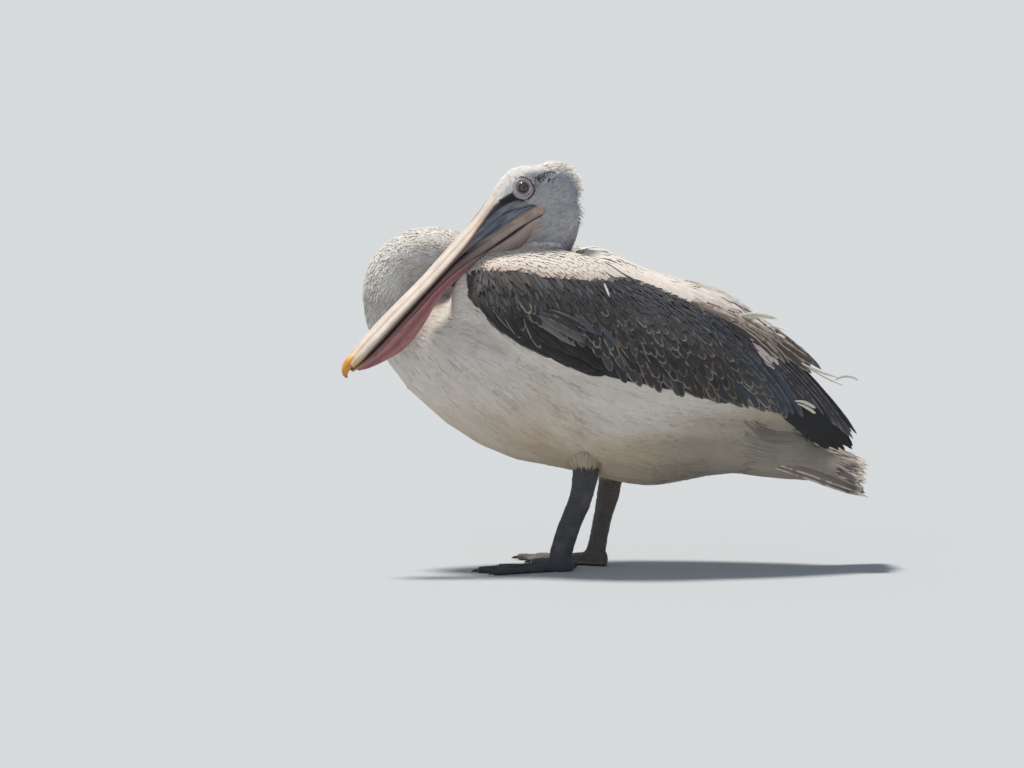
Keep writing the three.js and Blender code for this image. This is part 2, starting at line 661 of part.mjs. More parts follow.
const fleshSpaces = [trunkSpace, ...neckSpaces, headSpace];
const billSpace = inWorld(joined([upperBill(GAP), lowerBill(GAP), pouch(GAP)]));
for (const [side, turned] of [['left', (s) => s], ['right', mirrored]]) {
  const wing = without(turned(wingShell(0)), [...fleshSpaces, billSpace]);
  const wingTip = joined([wing, without(turned(featherTips(PRIMARIES)), [trunkSpace])]);
  place(`wing_${side}_arm`, halfOf(wing, WING_CUTS[0], -1), COVERT_PLUMAGE);
  place(`wing_${side}_secondaries`, halfOf(halfOf(wing, WING_CUTS[0], 1), WING_CUTS[1], -1), COVERT_PLUMAGE);
  place(`wing_${side}_primaries`, halfOf(wingTip, WING_CUTS[1], 1), FLIGHT_PLUMAGE);
  const wingSpaces = [turned(wingShell(GAP)), turned(featherTips(PRIMARIES))];
  const scapulars = turned(joined([scapularShell(), featherTips(TERTIALS)]));
  place(`scapulars_${side}`, without(scapulars, [...wingSpaces, ...fleshSpaces]), SCAPULAR_PLUMAGE);
}
place('tail', without(tailSolid(), [trunkSpace]), TAIL_PLUMAGE);

const legs = [
  { side: 'left', way: -1, stations: LEFT_SHANK, foot: LEFT_FOOT },
  { side: 'right', way: 1, stations: RIGHT_SHANK, foot: RIGHT_FOOT },
];
for (const [index, { side, way, stations, foot }] of legs.entries()) {
  const thigh = thighSolid(way, 0).intersect(trunk);
  place(`thigh_${side}`, without(thigh, [shankSpaces[index]]), WHITE_PLUMAGE);
  place(`shank_${side}`, shankSolid(stations, 0), LEG_SKIN);
  const footGroup = new THREE.Group();
  footGroup.position.set(foot.x, foot.y, 0);
  footGroup.rotation.z = Math.PI - way * foot.turn;
  group.add(footGroup);
  const turned = way < 0 ? (s) => s : mirrored;
  place(`foot_${side}`, turned(footSolid()), LEG_SKIN, footGroup);
  for (const toe of TOES) {
    place(`claw_${side}_${toe.name}`, turned(clawSolid(toe)), CLAW_HORN, footGroup);
  }
}

// The origin is under the middle of the whole bird, on the floor.
group.updateMatrixWorld(true);
const box = new THREE.Box3().setFromObject(group, true);
const middle = box.getCenter(new THREE.Vector3());
group.position.set(-middle.x, -middle.y, -box.min.z);

export default group;
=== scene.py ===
"""Dressed model of a young Dalmatian pelican: one skin, plumage of solid vanes, bill, eyes and legs.

Shapes are laid out in millimetres in the bird's own layout and shifted to the frame when a mesh is made:
the bird faces -X, its left side is -Y, and the floor is Z = 0.
"""
import math

import bpy
import numpy as np
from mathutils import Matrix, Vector
from mathutils.bvhtree import BVHTree


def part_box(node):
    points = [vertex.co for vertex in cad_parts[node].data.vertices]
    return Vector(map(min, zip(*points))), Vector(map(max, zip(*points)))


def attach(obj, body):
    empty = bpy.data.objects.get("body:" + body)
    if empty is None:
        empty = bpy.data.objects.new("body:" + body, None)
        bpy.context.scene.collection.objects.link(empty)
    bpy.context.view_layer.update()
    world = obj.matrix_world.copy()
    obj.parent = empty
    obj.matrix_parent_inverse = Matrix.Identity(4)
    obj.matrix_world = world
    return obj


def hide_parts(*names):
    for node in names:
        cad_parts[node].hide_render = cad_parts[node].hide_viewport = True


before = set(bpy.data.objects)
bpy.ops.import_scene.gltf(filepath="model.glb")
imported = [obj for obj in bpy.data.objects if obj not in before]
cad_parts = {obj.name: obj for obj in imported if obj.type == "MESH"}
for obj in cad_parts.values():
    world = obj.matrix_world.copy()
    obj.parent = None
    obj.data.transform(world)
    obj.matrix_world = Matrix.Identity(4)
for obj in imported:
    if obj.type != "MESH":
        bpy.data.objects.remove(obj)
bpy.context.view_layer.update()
RNG = np.random.default_rng(1871)
SIDES = {"left": -1, "right": 1}
MILLIMETRES = 1000  # in a metre
HASH = (374761393, 668265263, 1440662683, 1274126177)  # large odd factors that scatter the noise
BATCH = 20000  # points that are measured against the neck's line at a time
ROOT_SHAKE = 0.9  # how far roots of feathers are moved off the skin's own grid
BAKE_PATCH = 0.003  # side of one small feather on the OFBake map

# ---- Layout repeated from the solids ----

HEAD_CENTRE = np.array([-90.0, -20.0, 600.0])
HEAD_PITCH, HEAD_YAW, HEAD_ROLL = (math.radians(a) for a in (41.8, 17, 10))
EYE_RADIUS = 9.5
EYE_PLACE = (16.3, 26.5, 62.0)
NECK = np.array([  # x, y, z, radius, from the breast to the head
    (-250, 0, 350, 84), (-285, 2, 377, 77), (-314, 4, 406, 68), (-330, 7, 438, 59.5), (-331.5, 9, 469, 55),
    (-315, 10, 496, 51.5), (-285, 10, 509, 50.5), (-252, 9, 505.5, 50), (-217, 7, 494, 49),
    (-178, 4, 486.5, 48), (-139, -2, 491, 46), (-104, -8, 513, 44), (-83, -14, 547, 45),
    (-77, -18, 588, 41),
], float)
UPPER_BILL = np.array([  # x, z, up, down, half width, in the head's own frame
    (50, 52, 27, 25, 25), (92, 50, 16.5, 16.5, 25.5), (132, 50, 11.5, 11, 24), (178, 49, 8, 7, 22),
    (236, 45, 7.5, 7, 20.5), (300, 42, 8.5, 8.5, 21.5), (360, 38, 9.5, 8.5, 22.5),
    (398, 34, 9.5, 6.5, 19.5), (420, 32, 7, 5, 13),
], float)
LOWER_BILL = np.array([
    (28, 11, 10, 11, 29), (62, 18, 9, 10, 27.5), (98, 24, 10, 11, 25.5), (125, 28, 9, 11, 24),
    (178, 36, 6, 8, 21), (228, 34.5, 4, 4.5, 19.5), (300, 29.5, 4, 4.5, 20), (360, 26, 3.5, 4, 20.5),
    (400, 24, 3.5, 4, 16), (424, 23.5, 2.5, 2.5, 6),
], float)
POUCH = np.array([
    (22, 0, 6, 20, 22), (77, 8, 6, 34, 23), (120, 14, 6, 26, 21), (168, 25, 6, 17, 18),
    (205, 29, 4, 17, 17), (244, 28, 4, 21, 17), (288, 25, 3, 32, 17), (333, 23, 3, 36.5, 16),
    (370, 21.5, 2, 27, 14), (399, 20, 2, 15, 10), (415, 19.5, 2, 5, 5),
], float)
NAIL = np.array([  # x, y, z, radius
    (404, 0, 38.5, 8), (418, 0, 36.5, 9.5), (430, 0, 32, 8), (436, 0, 26, 5), (437, 0, 20, 2),
], float)
WING = np.array([  # x, z, high, wide, top, bottom, thick
    (-216, 385, 118, 98, 503, 456, 12), (-197, 375, 130, 108, 524, 431, 20),
    (-164, 358, 148, 121, 529, 397, 24), (-131, 348, 158, 131, 530, 374, 26),
    (-66, 343, 172, 139, 527, 342, 27), (0, 334, 183, 140, 513, 326, 27), (66, 313, 174, 134, 482, 309, 25),
    (131, 304, 158, 120, 455, 292, 22), (197, 297, 141, 102, 428, 280, 19),
    (254, 277, 122, 84, 392, 263, 16), (312, 255, 96, 62, 345, 240, 11), (350, 236, 70, 50, 300, 219, 8),
], float)
WING_END = 345  # x behind which the wing tip no longer lies on the flank
WING_DROP = 185  # about how far it is down the closed wing


def rotation(axis, angle):
    """The matrix of a turn about one axis, in radians."""
    c, s = math.cos(angle), math.sin(angle)
    rows = {"x": [(1, 0, 0), (0, c, -s), (0, s, c)], "y": [(c, 0, s), (0, 1, 0), (-s, 0, c)],
            "z": [(c, -s, 0), (s, c, 0), (0, 0, 1)]}
    return np.array(rows[axis], float)


HEAD_TURN = rotation("z", math.pi + HEAD_YAW) @ rotation("y", HEAD_PITCH) @ rotation("x", -HEAD_ROLL)


def from_head(points):
    """Points of the head's own frame (forward, left, up) in the bird's layout."""
    return np.asarray(points, float) @ HEAD_TURN.T + HEAD_CENTRE


def to_head(points):
    """Points of the bird's layout in the head's own frame."""
    return (np.asarray(points, float) - HEAD_CENTRE) @ HEAD_TURN


def frame_shift():
    """The shift from the bird's layout to the frame, read off the left eye, whose place is known in both."""
    low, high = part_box("eye_left")
    centre = np.array((low + high) / 2) * MILLIMETRES
    return centre - from_head([EYE_PLACE])[0]


SHIFT = frame_shift()

# ---- Small tools ----


def ramp(x, start, end):
    """0 before start, 1 after end, smooth between."""
    t = np.clip((np.asarray(x, float) - start) / (end - start), 0, 1)
    return t * t * (3 - 2 * t)


def blend(a, b, t):
    """Colours or vectors from a to b, by one t for each or for all of them."""
    return a + (b - a) * np.asarray(t, float)[..., None]


def bell(x, middle, width):
    """1 at the middle, falling to 0 on both sides of it."""
    return np.exp(-(((x - middle) / width) ** 2))


def colour(*rgb):
    """A display colour as linear light."""
    c = np.array(rgb, float)
    return np.where(c < 0.04045, c / 12.92, ((c + 0.055) / 1.055) ** 2.4)


def layered(tint, *layers):
    """A tint with display colours laid over it, each by its amount."""
    for tone, amount in layers:
        tint = blend(tint, colour(*tone), amount)
    return tint


def unit(v):
    return v / np.maximum(np.linalg.norm(v, axis=-1, keepdims=True), 1e-9)


def dot(a, b):
    return np.einsum("...i,...i->...", a, b)


def across_to(v, axis):
    """The direction of what is left of v at right angles to an axis."""
    return unit(v - dot(v, axis)[..., None] * axis)


def within(x, low, high):
    return (x > low) & (x < high)


def along(table, t):
    """Catmull-Rom through the rows of a table, for t from 0 to 1."""
    place = np.clip(np.asarray(t, float), 0, 1) * (len(table) - 1)
    i = np.minimum(place.astype(int), len(table) - 2)
    s = (place - i)[:, None]
    a, b, c, d = (table[np.clip(i + k, 0, len(table) - 1)] for k in (-1, 0, 1, 2))
    return b + ((c - a) * s + (2 * a - 5 * b + 4 * c - d) * s**2 + (3 * b - 3 * c + d - a) * s**3) / 2


def heading_of(table, t, reach):
    """The direction of a table's line at t, taken over a short reach to both sides."""
    return unit(along(table, np.minimum(t + reach, 1))[:, :3] - along(table, np.maximum(t - reach, 0))[:, :3])


def patches(points, size, seed):
    """Smooth noise from 0 to 1 with features about `size` across; `size` may differ along the axes."""
    q = np.asarray(points, float) / size
    cell = np.floor(q).astype(np.int64)
    f = q - cell
    f = f * f * (3 - 2 * f)
    total = 0
    for corner in range(8):
        off = np.array([corner & 1, corner >> 1 & 1, corner >> 2 & 1])
        x, y, z = np.moveaxis(cell + off, -1, 0)
        h = (x * HASH[0] + y * HASH[1] + z * HASH[2] + seed * HASH[3]) & 0xFFFFFFFF
        h = ((h ^ (h >> 13)) * HASH[3]) & 0xFFFFFFFF
        total = total + ((h ^ (h >> 16)) & 0xFFFF) / 65535 * np.prod(np.where(off == 1, f, 1 - f), axis=-1)
    return total


def turns(count):
    """A full circle in even steps."""
    return np.linspace(0, 2 * math.pi, count, endpoint=False)


def read(items, field, width, kind=np.float32):
    """One property of all vertices, corners or triangles, a row for each."""
    values = np.empty(len(items) * width, kind)
    items.foreach_get(field, values)
    return values.reshape(-1, width)


def placed(name, data):
    """An object in the scene."""
    ob = bpy.data.objects.new(name, data)
    bpy.context.scene.collection.objects.link(ob)
    return ob


def new_piece(name, points, faces, material, replaces=()):
    """A mesh from points in millimetres and arrays of faces, riding on the body."""
    mesh = bpy.data.meshes.new(name)
    mesh.vertices.add(len(points))
    mesh.vertices.foreach_set("co", ((points + SHIFT) / MILLIMETRES).astype(np.float32).ravel())
    corners = np.concatenate([f.ravel() for f in faces]).astype(np.int32)
    sizes = np.concatenate([np.full(len(f), f.shape[1]) for f in faces])
    mesh.loops.add(len(corners))
    mesh.loops.foreach_set("vertex_index", corners)
    mesh.polygons.add(len(sizes))
    mesh.polygons.foreach_set("loop_start", np.concatenate([[0], np.cumsum(sizes)[:-1]]).astype(np.int32))
    mesh.update(calc_edges=True)
    mesh.polygons.foreach_set("use_smooth", np.ones(len(sizes), bool))
    piece = placed(name, mesh)
    mesh.materials.append(material)
    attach(piece, "root")
    if replaces:
        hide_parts(*replaces)
    return piece


def paint(piece, name, values):
    """A colour for each vertex, or one for all."""
    rgba = np.ones((len(piece.data.vertices), 4), np.float32)
    rgba[:, :3] = values
    layer = piece.data.color_attributes.new(name=name, type="FLOAT_COLOR", domain="POINT")
    layer.data.foreach_set("color", rgba.ravel())


def lay_map(piece, name, uv):
    """A UV map from one place for each vertex."""
    corners = read(piece.data.loops, "vertex_index", 1, np.int32)[:, 0]
    piece.data.uv_layers.new(name=name).uv.foreach_set("vector", uv[corners].astype(np.float32).ravel())


def volume_of(points, faces):
    """Six times the volume inside a closed surface, below 0 where its faces look inwards."""
    total = 0
    for f in faces:
        for k in range(1, f.shape[1] - 1):
            a, b, c = points[f[:, 0]], points[f[:, k]], points[f[:, k + 1]]
            total += np.einsum("ij,ij->", a, np.cross(b, c))
    return total


def loft(rings, start=None, end=None):
    """Closed surface through rings of equal length; each end is closed to a tip or to its middle."""
    count, sides, _ = rings.shape
    points = rings.reshape(-1, 3)
    i, j = np.meshgrid(np.arange(count - 1), np.arange(sides), indexing="ij")
    a, b = i * sides + j, i * sides + (j + 1) % sides
    quads = np.stack([a, b, b + sides, a + sides], -1).reshape(-1, 4)
    tips = np.stack([rings[0].mean(0) if start is None else start, rings[-1].mean(0) if end is None else end])
    points = np.concatenate([points, tips])
    j = np.arange(sides)
    first, last = count * sides, count * sides + 1
    base = (count - 1) * sides
    caps = np.concatenate([
        np.stack([(j + 1) % sides, j, np.full(sides, first)], -1),
        np.stack([base + j, base + (j + 1) % sides, np.full(sides, last)], -1)])
    faces = [quads, caps]
    if volume_of(points, faces) < 0:
        faces = [f[:, ::-1] for f in faces]
    return points, faces


# ---- Materials ----


class Look:
    """A material of procedural nodes, whose inputs take values or the outputs of other nodes."""

    def __init__(self, name, roughness, **settings):
        self.material = bpy.data.materials.new(name)
        self.material.use_nodes = True
        self.tree = self.material.node_tree
        self.shader = self.tree.nodes["Principled BSDF"]
        self.feed(self.shader, Roughness=roughness, **settings)

    def put(self, socket, value):
        if isinstance(value, bpy.types.NodeSocket):
            self.tree.links.new(value, socket)
        else:
            socket.default_value = value

    def feed(self, node, **inputs):
        for key, value in inputs.items():
            self.put(node.inputs[key.replace("_", " ")], value)

    def add(self, kind, **settings):
        """The outputs of a new node. Names in small letters are its settings, the others its inputs."""
        node = self.tree.nodes.new("ShaderNode" + kind)
        for key in [key for key in settings if key[0].islower()]:
            setattr(node, key, settings.pop(key))
        self.feed(node, **settings)
        return node.outputs

    def math(self, operation, *values):
        node = self.tree.nodes.new("ShaderNodeMath")
        node.operation = operation
        for socket, value in zip(node.inputs, values):
            self.put(socket, value)
        return node.outputs[0]

    def painted(self, name):
        return self.add("Attribute", attribute_name=name)["Color"]

    def noise(self, scale, detail, where=None):
        """Noise with `scale` features to the metre, fixed to the piece unless it is told where."""
        where = where or self.add("TexCoord")["Object"]
        return self.add("TexNoise", Scale=scale, Detail=detail, Vector=where)["Fac"]

    def step(self, value, start, end, floor=0.0):
        """Smooth rise from `floor` to 1 as the value goes from start to end."""
        return self.add("MapRange", interpolation_type="SMOOTHSTEP", Value=value, From_Min=start,
                        From_Max=end, To_Min=floor)["Result"]

    def shade(self, base, amount, dark, light):
        """A colour multiplied by a grey that runs from dark to light with the amount."""
        grey = self.add("MapRange", Value=amount, To_Min=dark, To_Max=light)["Result"]
        return self.add("Mix", data_type="RGBA", blend_type="MULTIPLY", Factor=1, A=base, B=grey)["Result"]

    def done(self, base, height=None, strength=0.5, distance=0.001):
        """The material with its colour and, where there is a height, a bump."""
        self.feed(self.shader, Base_Color=base)
        if height is not None:
            bump = self.add("Bump", Strength=strength, Distance=distance, Height=height)
            self.feed(self.shader, Normal=bump["Normal"])
        return self.material


def plume_material(name, roughness, barbs, rimmed, streaks):
    """Feathers: a tint for each one, a pale rim where they have one, barbs that slant off the shaft."""
    look = Look(name, roughness, Sheen_Weight=0.15, Sheen_Roughness=0.6)
    base = look.painted("tint")
    spot = look.add("SeparateXYZ", Vector=look.add("UVMap", uv_map="Vane")["UV"])
    half = look.math("ABSOLUTE", look.math("MULTIPLY_ADD", spot["X"], 2, -1))
    if rimmed:
        wander = look.math("MULTIPLY_ADD", look.noise(400, 2), 0.22, half)
        tip = look.add("MapRange", Value=spot["Y"], From_Min=0.6)["Result"]
        edge = look.step(look.math("MAXIMUM", wander, tip), 0.68, 0.98)
        worn = look.step(look.noise(75, 2), 0.36, 0.54, 0.12)
        base = look.add("Mix", data_type="RGBA", Factor=look.math("MULTIPLY", edge, worn), A=base,
                        B=look.painted("rim"))["Result"]
        base = look.shade(base, look.step(half, 0.02, 0.10), 0.72, 1.0)
    here = look.add("SeparateXYZ", Vector=look.add("TexCoord")["Object"])
    drawn_out = look.add("CombineXYZ", X=look.math("MULTIPLY", spot["X"], 7),
                         Y=look.math("MULTIPLY", spot["Y"], 1.5), Z=look.math("MULTIPLY", here["X"], 60))
    base = look.shade(base, look.noise(1, 4, drawn_out["Vector"]), *streaks)
    base = look.shade(base, look.noise(30, 2), 0.90, 1.10)
    slant = look.math("MULTIPLY_ADD", half, -0.35, spot["Y"])
    return look.done(base, look.math("SINE", look.math("MULTIPLY", slant, barbs)), 0.35, 0.0002)


def hide_material(name, roughness, fine, coarse, depth, fine_span=(0.8, 1.15), **settings):
    """Skin and horn: a painted tint broken up by noise, with a grain of `fine` features to the metre."""
    look = Look(name, roughness, **settings)
    base = look.shade(look.painted("tint"), look.noise(fine, 4), *fine_span)
    base = look.shade(base, look.noise(coarse, 2), 0.86, 1.12)
    return look.done(base, look.noise(fine * 1.6, 5), 0.5, depth)


def scale_material(name, roughness, scales, depth):
    """Scaled leg skin: rounded cells with dark seams."""
    look = Look(name, roughness)
    cells = look.add("TexVoronoi", feature="DISTANCE_TO_EDGE", Scale=scales, Randomness=0.8,
                     Vector=look.add("TexCoord")["Object"])
    seam = look.step(cells["Distance"], 0, 0.18)
    base = look.shade(look.painted("tint"), seam, 0.6, 1.12)
    base = look.shade(base, look.noise(60, 4), 0.65, 1.35)
    return look.done(base, seam, 0.6, depth)


DOWN = plume_material("down", 0.82, 60, False, (0.86, 1.12))
VANE = plume_material("vane", 0.68, 220, True, (0.55, 1.45))
SILK = plume_material("silk", 0.75, 220, True, (0.82, 1.16))
SKIN = hide_material("skin", 0.75, 500, 40, 0.0006)
HORN = hide_material("horn", 0.42, 90, 22, 0.0004, (0.82, 1.14), Coat_Weight=0.15, Coat_Roughness=0.3)
POUCH_HIDE = hide_material("pouch_hide", 0.55, 300, 45, 0.0007, (0.78, 1.2), Subsurface_Weight=0.12,
                           Subsurface_Scale=0.004)
LEG_HIDE = scale_material("leg_hide", 0.62, 330, 0.0008)
CLAW = hide_material("claw", 0.4, 200, 60, 0.0003)

# ---- Skin ----

FLESH = ["trunk", "neck_base", "neck_fold", "neck_upper", "head", "thigh_left", "thigh_right"]
SKIN_VOXEL, LEG_VOXEL, CLAW_VOXEL = 3.4, 1.5, 0.5
FACE_REACHES = (34, 30, 22)  # distances from the eye within which faces are cut in four, round by round


def solids_of(names):
    """The points and triangles of some solids together, in the bird's layout."""
    points, faces, count = [], [], 0
    for name in names:
        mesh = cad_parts[name].data
        mesh.calc_loop_triangles()
        points.append(read(mesh.vertices, "co", 3).astype(float) * MILLIMETRES - SHIFT)
        faces.append(read(mesh.loop_triangles, "vertices", 3, np.int32) + count)
        count += len(mesh.vertices)
    return np.concatenate(points), np.concatenate(faces)


def remeshed(points, faces, voxel):
    """One closed surface of even quads round some solids; `voxel` in millimetres."""
    mesh = bpy.data.meshes.new("remesh")
    mesh.from_pydata((points / MILLIMETRES).tolist(), [], faces.tolist())
    ob = placed("remesh", mesh)
    change = ob.modifiers.new("remesh", "REMESH")
    change.mode = "VOXEL"
    change.voxel_size = voxel / MILLIMETRES
    done = bpy.data.meshes.new_from_object(ob.evaluated_get(bpy.context.evaluated_depsgraph_get()))
    points = read(done.vertices, "co", 3).astype(float) * MILLIMETRES
    quads = read(done.loops, "vertex_index", 1, np.int32).reshape(-1, 4)
    bpy.data.objects.remove(ob)
    bpy.data.meshes.remove(mesh)
    bpy.data.meshes.remove(done)
    return points, quads


def largest_shell(points, quads):
    """The surface without small loose shells inside it."""
    label = np.arange(len(points))
    while True:
        low = label[quads].min(1)
        before = label.copy()
        for k in range(4):
            np.minimum.at(label, quads[:, k], low)
        label = label[label]
        if (label == before).all():
            break
    names, counts = np.unique(label, return_counts=True)
    keep = label == names[counts.argmax()]
    index = np.cumsum(keep) - 1
    kept = quads[keep[quads[:, 0]]]
    return points[keep], index[kept]


def edges_of(faces):
    """Every edge once, as two arrays of vertex numbers."""
    n = faces.shape[1]
    pairs = np.concatenate([faces[:, [k, (k + 1) % n]] for k in range(n)])
    pairs = np.unique(np.sort(pairs, 1), axis=0)
    return pairs[:, 0], pairs[:, 1]


def relaxed(points, faces, rounds, weight=None):
    """Each point drawn towards the mean of its neighbours, `weight` from 0 to 1 for each point."""
    a, b = edges_of(faces)
    n = len(points)
    degree = np.bincount(a, minlength=n) + np.bincount(b, minlength=n)
    weight = np.full(n, 0.5) if weight is None else weight
    for _ in range(rounds):
        mean = np.stack([
            np.bincount(a, points[b, k], n) + np.bincount(b, points[a, k], n)
            for k in range(points.shape[1])], 1) / degree[:, None]
        points = points + (mean - points) * weight[:, None]
    return points


def normals_of(points, faces):
    """The normal of each point, from the faces round it."""
    corner = [points[faces[:, k]] for k in range(faces.shape[1])]
    if len(corner) == 4:
        across = np.cross(corner[2] - corner[0], corner[3] - corner[1])
    else:
        across = np.cross(corner[1] - corner[0], corner[2] - corner[0])
    total = np.zeros_like(points)
    for k in range(faces.shape[1]):
        for axis in range(3):
            total[:, axis] += np.bincount(faces[:, k], across[:, axis], len(points))
    return unit(total)


NECK_LINE = along(NECK, np.linspace(0, 1, 160))


def on_neck(points):
    """Distance from the neck's centre line over the neck's radius there, and the place along it."""
    share = np.empty(len(points))
    place = np.empty(len(points))
    for start in range(0, len(points), BATCH):
        p = points[start:start + BATCH]
        d = np.linalg.norm(p[:, None] - NECK_LINE[None, :, :3], axis=2) / NECK_LINE[None, :, 3]
        best = d.argmin(1)
        share[start:start + BATCH] = d[np.arange(len(p)), best]
        place[start:start + BATCH] = best / (len(NECK_LINE) - 1)
    return share, place


def wing_at(x):
    """The rows of the wing's table at places along X."""
    return np.stack([np.interp(x, WING[:, 0], WING[:, k]) for k in range(7)], 1)


def corner_power(x):
    """Power of the closed wing's section: 2 is a plain oval, more squares off its shoulder."""
    return np.interp(x, (-216, -190, -120, -40, 60), (2.6, 3.6, 3.6, 2.6, 2.0))


def swell(turn, power):
    """How far a section squared off above reaches at each turn, over the plain oval."""
    sine, cosine = np.abs(np.sin(turn)), np.abs(np.cos(turn))
    return np.where(np.cos(turn) > 0, (sine**power + cosine**power) ** (-1 / power), 1.0)


def turn_at(level, power):
    """The turn where such a section stands at a level from -1 to 1."""
    high = np.clip(level, 1e-6, 1)
    return np.where(level > 0, np.arctan((high**-power - 1) ** (1 / power)), np.arccos(np.clip(level, -1, 0)))


def wing_span(s):
    """Turns of the top and bottom edge of the closed wing for rows of its table."""
    power, reach = corner_power(s[:, 0]), s[:, 2] + s[:, 6] / 2
    return turn_at((s[:, 4] - s[:, 1]) / reach, power), turn_at((s[:, 5] - s[:, 1]) / reach, power)


def wing_share(points):
    """How far down the closed wing a point of the flank is: 0 at its top edge, 1 at its bottom edge."""
    s = wing_at(points[:, 0])
    turn = np.arctan2(np.abs(points[:, 1]) / s[:, 3], (points[:, 2] - s[:, 1]) / s[:, 2])
    first, last = wing_span(s)
    share = (turn - first) / (last - first)
    inside = (points[:, 0] > WING[0, 0] - 6) & (points[:, 0] < WING_END)
    return np.where(inside, share, -9)


def on_oval(x, z, high, wide, turn, offset, way, power):
    """Points over an oval section of the body, `way` to the left or right, at turns from its top."""
    out = swell(turn, power)
    across, up = (wide + offset) * np.sin(turn) * out, (high + offset) * np.cos(turn) * out
    return np.stack([x + 0 * turn, way * across, z + up], -1)


def shell(tables, way, span, depth, inner, bend=lambda x: 2.0):
    """Closed shell over ovals along X, from one turn to another."""
    arc = np.linspace(0, 1, 14)
    rings = []
    for row in tables:
        first, last = span(row)
        turn = first + (last - first) * arc
        outer = on_oval(row[0], *row[1:4], turn, depth(row, arc), way, bend(row[0]))
        back = on_oval(row[0], *row[1:4], turn[::-1], inner, way, bend(row[0]))
        rings.append(np.concatenate([outer, back]))
    return loft(np.array(rings))


def wing_turns(row):
    """The turns of the closed wing's edges for one row of its table."""
    return (float(turn[0]) for turn in wing_span(row[None]))


def wing_depth(row, share):
    """How thick the closed wing is over the flank, `share` down from its top edge."""
    return row[6] * (0.5 + 0.5 * np.sin(math.pi * np.minimum(1, 0.12 + 0.8 * share)))


SCAPULARS = np.array([  # x, z, high, wide, then the turns where they begin and end, in degrees
    (-40, 337, 190, 150, 3, 22), (0, 334, 190, 170, 3, 36), (66, 313, 183, 163, 3, 46),
    (131, 304, 172, 146, 3, 50), (197, 297, 160, 126, 3, 52), (254, 275, 142, 104, 3, 50),
    (286, 262, 136, 88, 5, 42),
], float)


def as_triangles(faces):
    parts = [f[:, [0, k, k + 1]] for f in faces for k in range(1, f.shape[1] - 1)]
    return np.concatenate(parts)


def split_faces(points, tris, marked):
    """Triangles round the marked points cut in four, and their neighbours cut to suit."""
    chosen = marked[tris].any(1)
    edge_pairs = np.sort(np.concatenate([tris[:, [0, 1]], tris[:, [1, 2]], tris[:, [2, 0]]]), 1)
    keys, which = np.unique(edge_pairs, axis=0, return_inverse=True)
    which = which.reshape(3, -1).T
    cut = np.zeros(len(keys), bool)
    cut[which[chosen].ravel()] = True
    number = np.cumsum(cut) - 1 + len(points)
    middles = points[keys[cut]].mean(1)
    mid = np.where(cut[which], number[which], -1)
    done = []
    for k in range(3):
        turned, m = np.roll(tris, -k, 1), np.roll(mid, -k, 1)
        a, b, c = turned.T
        one = (m[:, 0] >= 0) & (m[:, 1] < 0) & (m[:, 2] < 0)
        done += [np.stack([a, m[:, 0], c], 1)[one], np.stack([m[:, 0], b, c], 1)[one]]
        two = (m[:, 0] >= 0) & (m[:, 1] >= 0) & (m[:, 2] < 0)
        done += [np.stack([a, m[:, 0], c], 1)[two], np.stack([m[:, 0], m[:, 1], c], 1)[two],
                 np.stack([m[:, 0], b, m[:, 1]], 1)[two]]
    whole, none = (mid >= 0).all(1), (mid < 0).all(1)
    (a, b, c), (ab, bc, ca) = tris[whole].T, mid[whole].T
    done += [np.stack(t, 1) for t in ((a, ab, ca), (ab, b, bc), (ca, bc, c), (ab, bc, ca))]
    return np.concatenate([points, middles]), np.concatenate([tris[none], *done])


def eye_axis(way):
    """The way the eye of one side looks, in the head's own frame."""
    return unit(np.array([0.10, -way * 1.0, 0.08]))


FOLD = np.array([  # the fold round the eye: turn from the line of the bill in degrees, distance from the eye
    (-180, 15.5), (-150, 16.5), (-130, 18.8), (-95, 20.2), (-57, 22.4), (-33, 21), (-9, 20), (22, 18),
    (60, 15), (90, 14), (121, 14.2), (138, 15.2), (150, 15.2), (180, 15.5),
], float)


def fold_strength(degrees):
    """The fold is deep behind and under the eye and dies away before it and under the brow."""
    return np.interp(degrees, (-180, -45, -12, 20, 96, 130, 180), (1, 1, 0.3, 0, 0, 1, 1))


def round_eye(a, c):
    """Place in the face as the turn about the eye, the distance from it and that over the fold's distance."""
    turn = np.arctan2(c - EYE_PLACE[2], a - EYE_PLACE[0])
    far = np.hypot(a - EYE_PLACE[0], c - EYE_PLACE[2])
    return turn, far, far / np.interp(np.degrees(turn), *FOLD.T)


def lore_line(a):
    """Height of the dark lores, which narrow from under the eye to the edge of the bill's plate."""
    return np.interp(a, (18, 34, 44, 54, 68, 95, 117, 139), (50, 58, 60.5, 63.3, 64.8, 64.5, 61, 57))


def lore_width(a):
    """Half the height of the lores."""
    return np.interp(a, (18, 30, 41, 55, 70, 95), (3, 7.5, 7, 5.2, 4, 2.5))


def mouth_line(a):
    """Height of the line between jaw and throat."""
    return np.interp(a, (14, 20, 34, 60, 84, 125), (4, 2, 5, 8, 11, 18))


def cheek_line(a):
    """Height of the crease between the lores and the side of the bill's base."""
    return np.interp(a, (20, 29, 66, 102), (26, 32, 49.5, 52.5))


def bare_edge(c):
    """How far back the bare skin of face and throat reaches at each height."""
    return np.interp(c, (-60, -25, -21, -17, -4, 2, 11, 26, 40, 52, 60),
                     (130, 95, 58, 34, 37, 20, 12, 20, 30, 34, 44))


